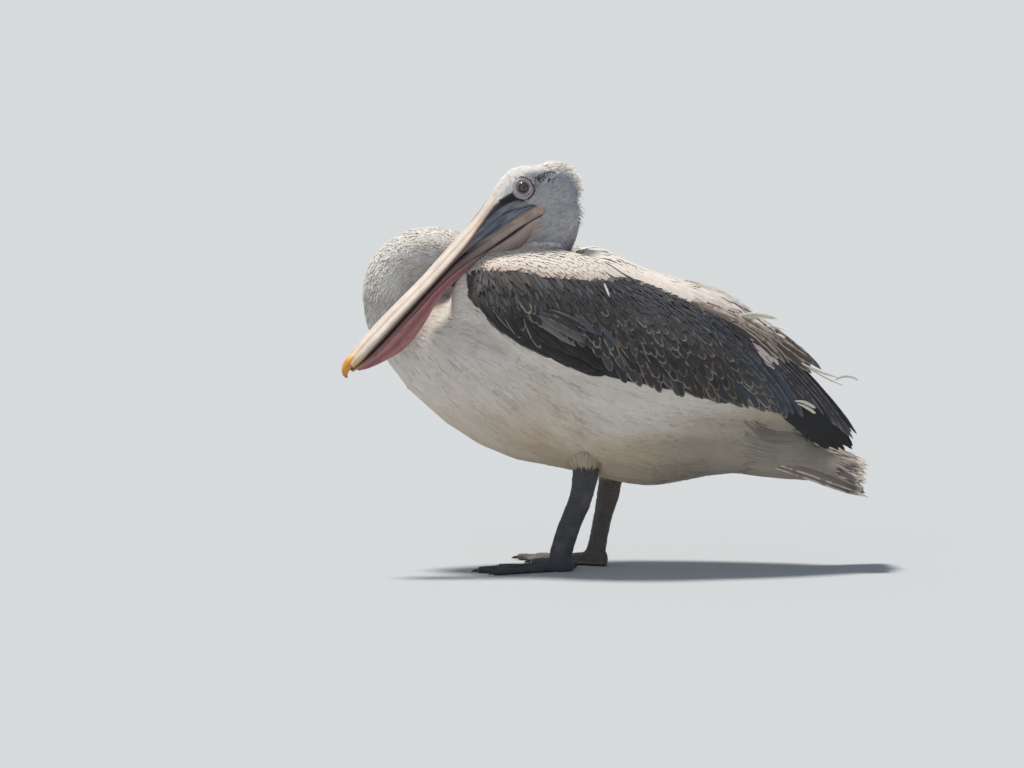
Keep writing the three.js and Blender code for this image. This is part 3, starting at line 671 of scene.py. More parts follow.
def sculpt_face(points):
    """Lids, the ring of bare skin and its fold round each eye, the lores, the corner of the mouth."""
    local = to_head(points)
    for way in (-1, 1):
        centre = np.array([EYE_PLACE[0], -way * EYE_PLACE[1], EYE_PLACE[2]])
        axis = eye_axis(way)
        out = local - centre
        far = np.linalg.norm(out, axis=1)
        rise = out @ axis
        near = (far < 45) & (rise > -6)
        turn, radius, share = round_eye(local[:, 0], local[:, 2])
        degrees = np.degrees(turn)
        rear = fold_strength(degrees)
        below = bell(degrees, -80, 50)
        relief = 1.5 * bell(radius, 12.2, 1.8)
        relief = relief - (1.7 + 1.0 * below) * bell((share - 1) * 16, 0, 1.25) * rear
        relief = relief + 1.2 * bell((share - 1.13) * 16, 0, 1.6) * rear
        relief = relief - 0.9 * bell(radius, 14.6, 0.6) * below
        relief = relief + 0.7 * bell(radius, 17.0, 1.4) * below
        local = local + axis * np.where(near & (rise > 0), relief, 0)[:, None]
        out = local - centre
        far = np.linalg.norm(out, axis=1)
        angle = np.degrees(np.arccos(np.clip(out @ axis / np.maximum(far, 1e-6), -1, 1)))
        opening = 58 + 4 * np.cos(2 * turn) + 3 * np.sin(turn)
        lid = 8.3 + 2.7 * ramp(angle, opening - 2.5, opening + 1.5)
        lid = lid + 0.45 * bell(angle - opening, 4, 2.5)
        want = np.where(angle < opening + 2, lid, np.maximum(far, lid))
        pull = near & (angle < 80)
        local = np.where(pull[:, None], centre + out / np.maximum(far, 1e-6)[:, None] * want[:, None], local)
    a, b, c = local.T
    side = np.sign(b) * ramp(np.abs(b), 12, 18)
    groove = ramp(a, 24, 36) * (1 - ramp(a, 78, 96)) * bell(c, lore_line(a), 0.8 * lore_width(a))
    local[:, 1] -= side * groove * 1.5
    jaw = ramp(a, 8, 20) * (1 - ramp(a, 70, 90))
    ridge = bell(c - mouth_line(a), 8.5, 5)
    crease = bell(c, mouth_line(a), 1.6) + 0.7 * bell(c - mouth_line(a), 21, 1.8)
    crease = crease + 0.8 * bell(c, cheek_line(a), 1.6)
    local[:, 1] += side * jaw * (1.6 * ridge - 1.5 * crease)
    corner = bell(a, 12, 2.2) * bell(c, 11, 9)
    local[:, 1] -= side * 1.6 * corner
    return from_head(local)


def egg(centre, reach):
    """Closed oval form with a reach along each axis."""
    polar = np.linspace(0, math.pi, 15)[1:-1, None]
    turn = turns(20)[None]
    rings = np.stack([np.cos(polar) + 0 * turn, np.sin(polar) * np.cos(turn),
                      np.sin(polar) * np.sin(turn)], -1)
    tips = np.array([(1.0, 0, 0), (-1.0, 0, 0)]) * reach + centre
    return loft(rings * reach + centre, tips[0], tips[1])


def sections(s, sides, squareness=1.0):
    """Rings in the head's own frame from rows of x, z, up, down, half width, and the shares across and up."""
    turn = turns(sides)
    rise = np.sign(np.sin(turn)) * np.abs(np.sin(turn)) ** squareness
    across = np.sign(np.cos(turn)) * np.abs(np.cos(turn)) ** squareness
    reach = np.where(rise > 0, s[:, 2:3], s[:, 3:4])
    rings = np.stack([np.repeat(s[:, 0:1], sides, 1), s[:, 4:5] * across, s[:, 1:2] + reach * rise], -1)
    return rings, across, rise


def bill_collar(table, last, inset):
    """The skin that runs out over the base of the bill and dips under its horn."""
    s = along(table, np.linspace(0, 1, 160))
    s = s[s[:, 0] <= last]
    out = s[:, 0] - s[0, 0]
    s[:, 2:5] += (1.8 - inset * (out / out[-1]) ** 3)[:, None]
    s[:, 0] -= 0.5
    points, faces = loft(sections(s, 40)[0])
    return from_head(points), faces


def added_forms():
    """What the flesh lacks: skin under wings and scapulars, nape, shoulders and the base of the bill."""
    forms = [egg(np.array([-62.0, -18, 578]), np.array([29.0, 30, 46])), bill_collar(UPPER_BILL, 84, 4.4),
             bill_collar(LOWER_BILL, 56, 5.0)]
    for way in SIDES.values():
        wing = along(WING, np.linspace(0, 1, 40))
        forms.append(shell(wing, way, wing_turns, wing_depth, -20, corner_power))
        forms.append(shell(along(SCAPULARS, np.linspace(0, 1, 20)), way,
                           lambda row: np.radians(row[4:6]), lambda row, share: -4 * share**3, -40))
        forms.append(egg(np.array([-213.0, way * 60, 446]), np.array([32.0, 37, 54])))
    return forms


def skin_surface():
    """Points and faces of the skin: flesh and added forms, smoothed and drawn in by the coat's depth."""
    points, faces = solids_of(FLESH)
    for extra, sides in added_forms():
        faces = np.concatenate([faces, as_triangles(sides) + len(points)])
        points = np.concatenate([points, extra])
    points, faces = remeshed(points, faces, SKIN_VOXEL)
    rough, quads = largest_shell(points, faces)
    headness = head_share(rough)
    points = relaxed(rough, quads, 10)
    points = relaxed(points, quads, 26, 0.5 * (1 - headness))
    normals = normals_of(points, quads)
    drawn_in = relaxed(dot(rough - points, normals)[:, None], quads, 60)
    points = points + normals * (drawn_in - coat_depth(points)[:, None])
    points = relaxed(points, quads, 2)
    tris = as_triangles([quads])
    for reach in FACE_REACHES:
        local = to_head(points)
        ring = np.hypot(local[:, 0] - EYE_PLACE[0] - 3, local[:, 2] - EYE_PLACE[2] + 5)
        marked = (ring < reach) & (np.abs(local[:, 1]) > 10)
        if reach > FACE_REACHES[-1]:
            marked |= within(local[:, 0], 6, 80) & (local[:, 2] > -14) & (np.abs(local[:, 1]) > 10)
        marked &= np.linalg.norm(local - (30, 0, 40), axis=1) < 75
        points, tris = split_faces(points, tris, marked)
    lump = patches(points, 5.0, 71) - 0.5
    points = points + normals_of(points, tris) * (lump * 0.5 * face_share(points))[:, None]
    return sculpt_face(points), tris


def head_share(points):
    """1 on the head, 0 on the neck and trunk."""
    local = to_head(points)
    return 1 - ramp(np.linalg.norm(local - (14, 0, 14), axis=1), 66, 88)


def face_share(points):
    """1 on the bare skin round each eye, on lores, jaw and throat, 0 where feathers grow."""
    a, b, c = to_head(points).T
    _, _, share = round_eye(a, c)
    eye = 1 - ramp(share, 1.02, 1.14)
    lore = ramp(a, 20, 30) * (1 - ramp(np.abs(c - lore_line(a)), lore_width(a), lore_width(a) + 3))
    jaw = ramp(a - bare_edge(c), -1.5, 1.5) * (1 - ramp(c - lore_line(a), 0, 3))
    return np.maximum(np.maximum(eye, lore), jaw) * ramp(np.abs(b), 8, 14)


def coat_depth(points):
    """How far the skin lies under the solids."""
    head, (share, place) = head_share(points), on_neck(points)
    neck = (1 - ramp(share, 1.1, 1.4)) * ramp(place, 0.1, 0.3)
    wing = wing_share(points)
    winged = ramp(wing, -0.05, 0.05) * (1 - ramp(wing, 0.95, 1.05))
    depth = 2.2 - 0.4 * neck
    depth = depth + (4.0 - depth) * winged
    depth = depth + (1.0 + 3.0 * ramp(points[:, 2], 625, 652) - depth) * head
    return depth * (1 - face_share(points) * head)


skin_points, skin_faces = skin_surface()
skin_normals = normals_of(skin_points, skin_faces)
TREE = BVHTree.FromPolygons(skin_points.tolist(), skin_faces.tolist())

# ---- Colours of the plumage and skin ----

WHITE = colour(0.90, 0.875, 0.84)
BUFF = colour(0.78, 0.70, 0.59)
STREAK = colour(0.60, 0.55, 0.49)
NECK_GREY = colour(0.86, 0.845, 0.82)
# The cheeks' grey is partly their own tone and partly painted shade; the crown's white is partly painted
# light.
CHEEK = colour(0.74, 0.735, 0.735)
CROWN = colour(0.94, 0.925, 0.905)


def rear_turn(a, c):
    """Direction from the middle of the head, in degrees from the line of the bill over the crown."""
    return np.degrees(np.arctan2(c - 5, a - 5)) % 360


def body_tint(points):
    """White plumage with buff below and fine streaks along the lie of the coat, with painted light and shade
    on the underparts, neck and head.
    """
    x, y, z = points.T
    slope = np.radians(40 - 30 * ramp(x, -250, 250))
    run = x * np.cos(slope) - z * np.sin(slope)
    rise = x * np.sin(slope) + z * np.cos(slope)
    coat = np.stack([run, rise, y], 1)
    streak, broad = patches(coat, (26, 3.2, 8), 5), patches(coat, (110, 26, 60), 6)
    # Buff low on the body: partly the plumage's own buff, partly painted warm light reflected up from below.
    low = 1 - ramp(z - 0.12 * x, 185, 400 - 120 * ramp(x, -130, -10))
    tint = blend(WHITE, BUFF, np.clip(0.16 + 0.95 * low * (0.5 + broad), 0, 1))
    # Painted shade: the rear underparts darken towards a dull grey, as in the body's own shadow.
    painted_rear_shade = ramp(x, -20, 150) * (1 - ramp(z - 0.05 * x, 205, 285))
    tint = blend(tint, colour(0.56, 0.545, 0.51), painted_rear_shade * (0.45 + 0.5 * broad))
    tint = blend(tint, STREAK, ramp(streak, 0.50, 0.92) * (0.15 + 0.5 * broad))
    head = head_share(points)
    share, place = on_neck(points)
    neck = (1 - ramp(share, 1.05, 1.4)) * ramp(place, 0.08, 0.3) * (1 - head)
    shade_noise = patches(points, 16, 9)
    fine = patches(points, 5, 13)
    neck_tint = blend(NECK_GREY, STREAK,
                      ramp(shade_noise, 0.5, 1) * 0.35 + ramp(fine, 0.55, 0.95) * 0.45)
    # Painted shade: the top of the neck under the head turns blue-grey, as in the head's shadow.
    neck_tint = blend(neck_tint, colour(0.62, 0.635, 0.675), ramp(place, 0.78, 0.9) * 0.85)
    tint = blend(tint, neck_tint, neck)
    a, b, c = to_head(points).T
    # Partly painted light: a lit white band (crown) painted round the head's outline, over cheeks painted
    # greyer as in shade.
    rim = np.interp(rear_turn(a, c), (60, 90, 104, 120, 141, 163, 183, 213, 250),
                    (66, 66, 62, 57, 52, 56, 55, 56, 68))
    wander = 9 * (shade_noise - 0.5)
    crown = ramp(np.hypot(a - 5, c - 5) - rim + wander + 8 * ramp(-np.abs(b), -16, -6), -4, 4)
    head_tint = blend(CHEEK, CROWN, crown)
    # Painted shade: bluish grey on the cheek towards the nape.
    shaded = ramp(np.hypot(a - 5, c - 5) - rim, -18, -5) * (1 - crown) * ramp(rear_turn(a, c), 130, 160)
    head_tint = blend(head_tint, colour(0.55, 0.585, 0.65), shaded * 0.6)
    stroke = patches(np.stack([a * 0.5 + c, a - c * 0.5, b], 1), (2.6, 9, 5), 11)
    head_tint = blend(head_tint, colour(0.78, 0.75, 0.71), crown * ramp(stroke, 0.5, 0.95) * 0.45)
    # Dark patch behind the eye: partly dark feathers, partly painted shadow under the crown.
    behind_eye = np.exp(-(((a + 18) / 15) ** 2 + ((c - 47 - 0.5 * (a + 18)) / 10) ** 2))
    mottle = patches(points, 2.6, 12)
    head_tint = layered(
        head_tint,
        ((0.45, 0.47, 0.53), (1 - crown) * ramp(mottle, 0.4, 0.9) * 0.5),
        ((0.16, 0.17, 0.21), np.clip(1.9 * behind_eye * ramp(stroke, 0.42, 0.66), 0, 1) * (1 - crown)),
    )
    return blend(tint, head_tint, head)


def bare_tint(points):
    """Bare skin of the face, and the base of the bill, by its place in the head's own frame, with painted
    shade in its creases and folds.
    """
    a, b, c = np.moveaxis(points, -1, 0)
    streak = patches(np.stack([a, b, c - 0.2 * a], -1), (16, 30, 2), 81)
    blot = patches(points, 9, 82)
    tint = layered(
        colour(0.38, 0.41, 0.47),
        ((0.55, 0.55, 0.56), ramp(streak, 0.5, 0.9) * 0.7),
        ((0.22, 0.24, 0.30), ramp(streak, 0.5, 0.1) * 0.6),
    )
    pale = bell(c - 40, 0.5 * (a - 33), 5) * ramp(a, 24, 34) * (1 - ramp(a, 42, 62))
    tint = blend(tint, colour(0.60, 0.575, 0.56), pale * 0.7)
    over = c - mouth_line(a)
    # Painted shade: a dark line in the crease between the lores and the side of the bill's base.
    tint = blend(tint, colour(0.20, 0.21, 0.27), bell(c, cheek_line(a), 1.5) * 0.7)
    band = ramp(over, 0, 3) * (1 - ramp(over, 17, 23)) * (1 - 0.5 * ramp(a, 90, 150))
    tint = blend(tint, blend(colour(0.78, 0.695, 0.62), colour(0.60, 0.52, 0.48), blot), band)
    throat = 1 - ramp(over, -3, 0)
    tint = blend(tint, blend(colour(0.80, 0.73, 0.685), colour(0.66, 0.59, 0.57), streak), throat)
    # Painted shade: a dark line in the crease between jaw and throat.
    tint = blend(tint, colour(0.24, 0.16, 0.15), bell(over, 0, 1.7) * (1 - ramp(a, 100, 140)) * 0.85)
    turn, radius, share = round_eye(a, c)
    ring = blend(colour(0.76, 0.70, 0.71), colour(0.60, 0.545, 0.57), blot)
    lit = ramp(np.sin(turn) + 0.3 * np.cos(turn), 0.2, 0.9)
    ring = blend(ring, colour(0.82, 0.79, 0.76), lit * ramp(radius, 9, 12))
    tint = blend(tint, ring, 1 - ramp(share, 0.92, 1.04))
    degrees = np.degrees(turn)
    rear = fold_strength(degrees)
    # Painted shade: a dark blue-grey line along the fold round the eye.
    tint = blend(tint, colour(0.13, 0.13, 0.18), bell((share - 1) * 16, 0, 1.5) * rear * 0.95)
    below = bell(degrees, -80, 45)
    # Painted shade in the crease under the eye, a dark line round the lower lid; then the dark edge of the
    # lid itself.
    tint = layered(
        tint,
        ((0.33, 0.27, 0.30), bell(radius, 14.6, 0.8) * below * 0.8),
        ((0.17, 0.14, 0.15), 1 - ramp(radius, 8.4, 9.6)),
    )
    wide = lore_width(a)
    lore = (1 - ramp(np.abs(c - lore_line(a)) / wide, 0.75, 1.15)) * ramp(a, 20, 30) * ramp(share, 0.95, 1.05)
    return blend(tint, colour(0.085, 0.07, 0.075), lore * 0.95)


BAND_EDGE = np.array([  # x and height where the wing's pale top band (painted sunlight), and behind it the scapulars, end
    (-222, 480), (-209, 498), (-172, 500), (-128, 500), (-97, 493), (-40, 487), (3, 484), (48, 481),
    (70, 474), (107, 460), (148, 443), (189, 422), (218, 408), (236, 392), (255, 366), (262, 345),
    (280, 330), (420, 290),
], float)
BLACK_EDGE = np.array([  # x and height of the upper edge of the black feathers along the wing's lower edge
    (-205, 450), (-185, 428), (-166, 415), (-128, 404), (-97, 403), (-62, 389), (-26, 370), (-10, 350),
    (15, 326), (30, 300),
], float)


def band_edge(x):
    return np.interp(x, *BAND_EDGE.T)


def black_edge(x):
    return np.interp(x, *BLACK_EDGE.T, left=0, right=0)


# ---- Plumes ----


class Template:
    """One feather as a grid of stations along it and points round it, with its triangles."""

    def __init__(self, stations, half_width, section):
        self.s = np.array(stations, float)
        self.w = np.array(half_width, float)
        self.section = np.array(section, float)  # across, height, share of thickness
        self.stations = np.append(self.s, 1.0)  # with the tip
        rings, around = len(self.s), len(self.section)
        tris, under = [], []
        last_above = int(np.argmax(self.section[:, 0]))
        for i in range(rings - 1):
            for j in range(around):
                a, b = i * around + j, i * around + (j + 1) % around
                tris += [(a, b, a + around), (b, b + around, a + around)]
                under += [j >= last_above] * 2
        for j in range(1, around - 1):
            tris.append((0, j + 1, j))
            under.append(False)
        tip = rings * around
        for j in range(around):
            tris.append(((rings - 1) * around + j, (rings - 1) * around + (j + 1) % around, tip))
            under.append(j >= last_above)
        self.tris = np.array(tris)[:, ::-1]
        self.under = np.array(under)
        self.count = tip + 1
        self.u = np.append(np.tile(self.section[:, 0] / 2 + 0.5, rings), 0.5)
        self.v = np.append(np.repeat(self.s, around), 1.0)


SPIKE = Template([0, 0.3, 0.65], [0.7, 1, 0.6], [(-1, 0), (0, 1), (1, 0)])
FINE = Template([0, 0.35, 0.75], [0.55, 1, 0.62], [(-1, 0), (0, 1), (1, 0)])
SMALL = Template([0, 0.25, 0.6, 0.86], [0.5, 0.95, 1, 0.6], [(-1, 0), (0, 1), (1, 0), (0, -0.5)])
BROAD = Template([0, 0.12, 0.28, 0.46, 0.62, 0.76, 0.87, 0.95], [0.3, 0.6, 0.85, 0.98, 1, 0.93, 0.74, 0.45],
                 [(-1, 0), (-0.5, 0.8), (0, 1.4), (0.5, 0.8), (1, 0), (0, -0.4)])
LONG = Template([0, 0.08, 0.18, 0.30, 0.42, 0.54, 0.65, 0.75, 0.84, 0.91, 0.965],
                [0.25, 0.5, 0.75, 0.92, 1, 1, 0.97, 0.9, 0.76, 0.56, 0.32],
                [(-1, 0), (-0.5, 0.8), (0, 1.6), (0.5, 0.8), (1, 0), (0, -0.4)])


def nearest(points):
    """The skin's nearest point and normal for each point."""
    places, normals = np.empty((len(points), 3)), np.empty((len(points), 3))
    find = TREE.find_nearest
    for k, p in enumerate(points.tolist()):
        place, normal, _, _ = find(p)
        places[k], normals[k] = place, normal
    return places, normals


def hugging(roots, normals, heading, length, template, stiffness=0.0):
    """Paths along the skin from each root, of each length, with the skin's normals on the way."""
    stations = template.stations
    path = np.empty((len(roots), len(stations), 3))
    normal = np.empty_like(path)
    place, up, way = roots.copy(), normals.copy(), heading.copy()
    line = across_to(way, up)
    base, base_up = place.copy(), up.copy()
    for k, s in enumerate(stations):
        if k:
            step = length * (s - stations[k - 1])
            place, found = nearest(place + way * step[:, None])
            up = unit(up * 0.4 + found * 0.6)
        way = across_to(way, up)
        straight = base + line * (length * s)[:, None]
        path[:, k] = place + (straight - place) * stiffness
        normal[:, k] = unit(up + (base_up - up) * stiffness)
    return path, normal


def vanes(name, template, path, normal, width, lift, thick, tint, slot, material, uv, uv_size=BAKE_PATCH,
          rim=None, replaces=(), camber=0.25, curl=0.0, sway=0.0, tip_tint=None, ragged=0.0, roundness=0.35,
          tip_power=1.5, free=False):
    """Solid feathers along paths. `lift` is the height of each over the skin at root, middle and tip.

    The undersides of `free` ones, which can be seen, are shaded as facing away from the path's normal.
    """
    count = len(path)
    side = unit(np.cross(normal, np.gradient(path, axis=1)))
    s = template.stations
    rise = np.array([np.interp(s, (0, 0.4, 1), row) for row in np.broadcast_to(lift, (count, 3))])
    centre = path + normal * rise[..., None] + normal * (np.reshape(curl, (-1, 1)) * s**2)[..., None]
    centre = centre + side * (np.reshape(sway, (-1, 1)) * s**2)[..., None]
    half = np.broadcast_to(width, count)[:, None] * template.w
    if ragged:
        half = half * (1 + ragged * (RNG.random(half.shape) - 0.6) * (template.s > 0.3))
    across, height = template.section[:, 0], template.section[:, 1]
    ring = centre[:, :-1, None] + side[:, :-1, None] * (half[:, :, None] * across)[..., None]
    over = np.reshape(thick, (-1, 1, 1)) * height * (1 - 0.6 * template.s[None, :, None])
    over = over - camber * half[:, :, None] * across**2
    ring = ring + normal[:, :-1, None] * over[..., None]
    points = np.concatenate([ring.reshape(count, -1, 3), centre[:, -1:]], 1)
    tris = (template.tris[None] + (np.arange(count) * template.count)[:, None, None]).reshape(-1, 3)
    piece = new_piece(name, points.reshape(-1, 3), [tris], material, replaces)
    facing = unit(normal[:, :-1, None] + side[:, :-1, None] * (roundness * across)[:, None])
    facing = np.concatenate([facing.reshape(count, -1, 3), normal[:, -1:]], 1)
    if free:
        away = unit(-normal[:, :-1, None] + side[:, :-1, None] * (roundness * across)[:, None])
        away = np.concatenate([away.reshape(count, -1, 3), -normal[:, -1:]], 1)
        under = np.tile(template.under, count)[:, None, None]
        corners = np.where(under, away.reshape(-1, 3)[tris], facing.reshape(-1, 3)[tris])
        piece.data.normals_split_custom_set(corners.reshape(-1, 3).tolist())
    else:
        piece.data.normals_split_custom_set_from_vertices(facing.reshape(-1, 3).tolist())
    tones = {"tint": tint, "rim": rim, "tip": tip_tint}
    tones = {key: np.repeat(np.broadcast_to(tone, (count, 3))[:, None], template.count, 1)
             for key, tone in tones.items() if tone is not None}
    if "tip" in tones:
        t = (template.v**tip_power)[None, :, None]
        tones["tint"] = tones["tint"] * (1 - t) + tones.pop("tip") * t
    for key, tone in tones.items():
        paint(piece, key, tone.reshape(-1, 3))
    own = np.stack([template.u, template.v], 1)
    lay_map(piece, "Vane", np.tile(own, (count, 1)))
    lay_map(piece, "OFBake", (uv[:, None] + (own - 0.5) * np.asarray(uv_size)).reshape(-1, 2))


def scaled(values, low, high):
    """Values from low to high as 0.01 to 0.99."""
    return 0.01 + 0.98 * np.clip((values - low) / (high - low), 0, 1)


TRUNK_HEIGHT = 320  # of the middle of the trunk


def body_unwrap(points):
    """The trunk unrolled about its length, the place along it against the turn round it."""
    turn = np.arctan2(points[:, 1], points[:, 2] - TRUNK_HEIGHT)
    return np.stack([scaled(points[:, 0], points[:, 0].min(), points[:, 0].max()),
                     scaled(turn, -math.pi, math.pi)], 1)


def neck_unwrap(points):
    """The neck unrolled about its centre line."""
    _, place = on_neck(points)
    spot = along(NECK, place)[:, :3]
    first = unit(np.cross((0.0, 1, 0), heading_of(NECK, place, 0.01)))
    out = points - spot
    turn = np.arctan2(out[:, 1], dot(out, first))
    return np.stack([scaled(place, place.min(), place.max()), scaled(turn, -math.pi, math.pi)], 1)


def head_unwrap(points):
    """The head unrolled about the line of the bill."""
    a, b, c = to_head(points).T
    return np.stack([scaled(a, a.min(), a.max()), scaled(np.arctan2(b, c - 14), -math.pi, math.pi)], 1)


def body_lie(points):
    """The way feathers point on trunk, neck and head."""
    x, _, z = points.T
    low = np.radians(38 - 32 * ramp(x, -280, 260))
    high = np.radians(8 + 22 * ramp(x, 60, 300))
    up = ramp(z, 330, 460)
    slope = low + (high - low) * up
    trunk = np.stack([np.cos(slope), np.zeros(len(x)), -np.sin(slope)], 1)
    share, place = on_neck(points)
    forward = heading_of(NECK, place, 0.012)
    neck = (1 - ramp(share, 1.1, 1.5)) * ramp(place, 0.05, 0.25)
    lie = trunk + (-forward - trunk) * neck[:, None]
    head = head_share(points)
    local = to_head(points)
    back = -HEAD_TURN[:, 0] * 0.9 - HEAD_TURN[:, 2] * 0.35
    swirl = HEAD_TURN[:, 2] * (0.9 * ramp(local[:, 2], 30, 75) * ramp(local[:, 0], -20, 40))[:, None]
    return unit(lie + (back + swirl - lie) * head[:, None])


head_amount = head_share(skin_points)
neck_ratio, neck_place = on_neck(skin_points)
wing_place = wing_share(skin_points)
face_amount = face_share(skin_points) * head_amount
local = to_head(skin_points)
at_bill = within(local[:, 0], 52, 100)
at_bill &= (np.abs(local[:, 1]) < 42) & (np.abs(local[:, 2] - 32) < 62)
face_amount = np.where(at_bill, face_share(skin_points), face_amount)
bare = (face_amount > 0.5) | ((local[:, 0] > 60) & (local[:, 2] < lore_line(local[:, 0]) + 2))
covered = within(wing_place, 0.0, 0.985)
skin_tint = body_tint(skin_points)
skin_tint = blend(skin_tint, bare_tint(local), face_amount)
band_depth = skin_points[:, 2] - band_edge(skin_points[:, 0])
under_wing = ramp(wing_place, 0.0, 0.04) * (1 - ramp(wing_place, 0.975, 0.995))
under_wing = under_wing * (1 - ramp(band_depth, -6, 2))
under_rear = ramp(skin_points[:, 0], 205, 235) * ramp(skin_points[:, 2], 262, 285)
under_rear = under_rear * (1 - ramp(band_depth, -6, 2)) * ramp(np.abs(skin_points[:, 1]), 40, 50)
skin_tint = blend(skin_tint, colour(0.17, 0.17, 0.19), np.maximum(under_wing, under_rear))
covered |= under_rear > 0.5


def scatter(mask, share):
    """Skin vertices picked at random from a mask, moved a little off their grid."""
    picked = np.nonzero(mask & (RNG.random(len(mask)) < share))[0]
    return picked, skin_points[picked] + RNG.normal(0, ROOT_SHAKE, (len(picked), 3))


def plumage(name, mask, share, length, width, lift, thick, unwrap, slot, wild, curl=(0, 0), sway=1.0):
    """Small tufts of one part of the coat; length, width and lift may be functions of the place."""
    picked, roots = scatter(mask, share)
    length, width, lift = (v(roots) if callable(v) else v for v in (length, width, lift))
    n = len(picked)
    lie = body_lie(roots) + RNG.normal(0, wild, (n, 3))
    path, normal = hugging(roots, skin_normals[picked], lie, length * RNG.uniform(0.75, 1.25, n), FINE)
    tint = body_tint(roots) * RNG.uniform(0.93, 1.05, (n, 1))
    width = width * RNG.uniform(0.7, 1.3, n)
    thick = thick * RNG.uniform(0.8, 1.2, n)
    vanes(name, FINE, path, normal, width, lift, thick, tint, slot, DOWN, unwrap(roots),
          curl=RNG.uniform(*curl, n), sway=RNG.normal(0, sway, n), tip_tint=np.clip(tint * 1.06, 0, 0.95))


def hanging(roots):
    """Heights of the belly's tufts over the skin: they hang lower behind the legs."""
    low = bell(roots[:, 0], 62, 70) * (1 - ramp(roots[:, 2], 150, 215))
    return (-0.3, 0.8, 1.2) + low[:, None] * (0, 4.5, 7.5)


def under_nape(points):
    """1 at the foot of the hind neck, where the coat turns sharply."""
    return bell(points[:, 0], -58, 34) * ramp(points[:, 2], 498, 514)


is_head = (head_amount > 0.5) & ~bare
fine_grid = within(local[:, 0], 0, 84) & (local[:, 2] > -18) & (np.abs(local[:, 1]) > 9)
is_neck = (head_amount <= 0.5) & (neck_ratio < 1.35) & (neck_place > 0.16)
is_trunk = ~is_head & ~is_neck & (head_amount <= 0.5) & ~covered
back_side = is_trunk & (skin_points[:, 2] > 330 + 0.1 * skin_points[:, 0])
breast = is_trunk & ~back_side & (skin_points[:, 0] < -60)
belly = is_trunk & ~back_side & (skin_points[:, 0] >= -60)

plumage("plumes_head", is_head & ~fine_grid, 0.95, lambda p: 8 + 9 * ramp(-to_head(p)[:, 0], 20, 62), 1.2,
        (0.0, 0.6, 0.9), 0.3, head_unwrap, "plumage_head", wild=0.10, curl=(0, 0.8), sway=0.6)
plumage("plumes_face", is_head & fine_grid, 0.30, 6.5, 0.8, (0.0, 0.4, 0.6), 0.22, head_unwrap,
        "plumage_head", wild=0.10, curl=(0, 0.4), sway=0.4)
plumage("plumes_neck", is_neck, 0.9, lambda p: 22 - 12 * ramp(on_neck(p)[1], 0.78, 0.9),
        lambda p: 2.2 - 1.1 * ramp(on_neck(p)[1], 0.78, 0.9), (0.0, 1.8, 2.8), 0.5, neck_unwrap,
        "plumage_white", wild=0.07, curl=(0, 1.4))
plumage("plumes_breast", breast, 0.85, 36, 2.6, (-0.2, 1.2, 1.9), 0.4, body_unwrap, "plumage_white",
        wild=0.035)
for name, part in (("plumes_belly", skin_points[:, 0] < 110), ("plumes_vent", skin_points[:, 0] >= 110)):
    plumage(name, belly & part, 0.85, 40, 2.8, hanging, 0.4, body_unwrap, "plumage_white", wild=0.035)
plumage("plumes_back", back_side, 0.66, lambda p: 34 - 27 * under_nape(p),
        lambda p: 3.4 - 2.5 * under_nape(p), (-0.2, 0.8, 1.4), 0.4, body_unwrap, "plumage_white", wild=0.04)


def nape_tufts():
    """Spiky tufts that stand out along crown and nape, and shaggy ones down the hind neck."""
    a, b, c = to_head(skin_points).T
    rear = np.degrees(np.arctan2(c - 5, a - 5))
    rear = np.where(rear < -110, rear + 360, rear)
    edge = within(rear, 118, 262) & (np.abs(b) < 19) & (head_amount > 0.02)
    picked, roots = scatter(edge & (skin_points[:, 2] > 520), 0.42)
    n = len(picked)
    stand = RNG.uniform(0.4, 1.6, n) * ramp(rear[picked], 118, 142) * (1 + 0.6 * ramp(rear[picked], 140, 160))
    lie = body_lie(roots) + RNG.normal(0, 0.22, (n, 3))
    up = skin_normals[picked]
    way = unit(across_to(lie, up) + up * stand[:, None])
    side = unit(np.cross(up, way))
    s = SPIKE.stations
    long = RNG.uniform(9, 21, n) + 6 * ramp(rear[picked], 130, 150)
    path = roots[:, None] + way[:, None] * (long[:, None] * s)[..., None]
    path = path - up[:, None] * (0.25 * long[:, None] * s**2 * stand[:, None])[..., None]
    normal = np.repeat(unit(np.cross(way, side) * -1)[:, None], len(s), 1)
    normal = normal * np.sign(np.einsum("ikj,ij->ik", normal, up))[..., None]
    tint = WHITE * RNG.uniform(0.95, 1.08, (n, 1))
    vanes("plumes_nape", SPIKE, path, normal, RNG.uniform(0.7, 1.3, n), (0, 0, 0), 0.5, tint,
          "plumage_head", DOWN, head_unwrap(roots), tip_tint=np.clip(tint * 1.1, 0, 0.95),
          sway=RNG.normal(0, 1.5, n), free=True)


def ruffs():
    """Curly tufts that stand off the upper side of the folded neck."""
    _, place = on_neck(skin_points)
    spot = along(NECK, place)[:, :3]
    out = unit(skin_points - spot)
    row = 0.5 + 0.5 * np.cos(place * 260)
    upper = is_neck & within(place, 0.24, 0.62) & within(np.abs(out[:, 1]), 0.38, 0.86)
    upper &= dot(out, unit(spot - (-240, 8, 440))) > 0.2
    picked, roots = scatter(upper & (RNG.random(len(place)) < 0.25 + 0.75 * row), 0.5)
    n = len(picked)
    lie = body_lie(roots) + RNG.normal(0, 0.3, (n, 3))
    path, normal = hugging(roots, skin_normals[picked], lie, RNG.uniform(7, 12, n), SMALL)
    tint = WHITE * RNG.uniform(0.94, 1.04, (n, 1))
    vanes("plumes_ruff", SMALL, path, normal, RNG.uniform(1.2, 2.0, n), (0.2, 2.6, 3.4), 0.5, tint,
          "plumage_white", DOWN, neck_unwrap(roots), tip_tint=np.clip(tint * 1.1, 0, 0.95),
          curl=RNG.uniform(0.5, 3.0, n), sway=RNG.normal(0, 2.2, n), free=True)


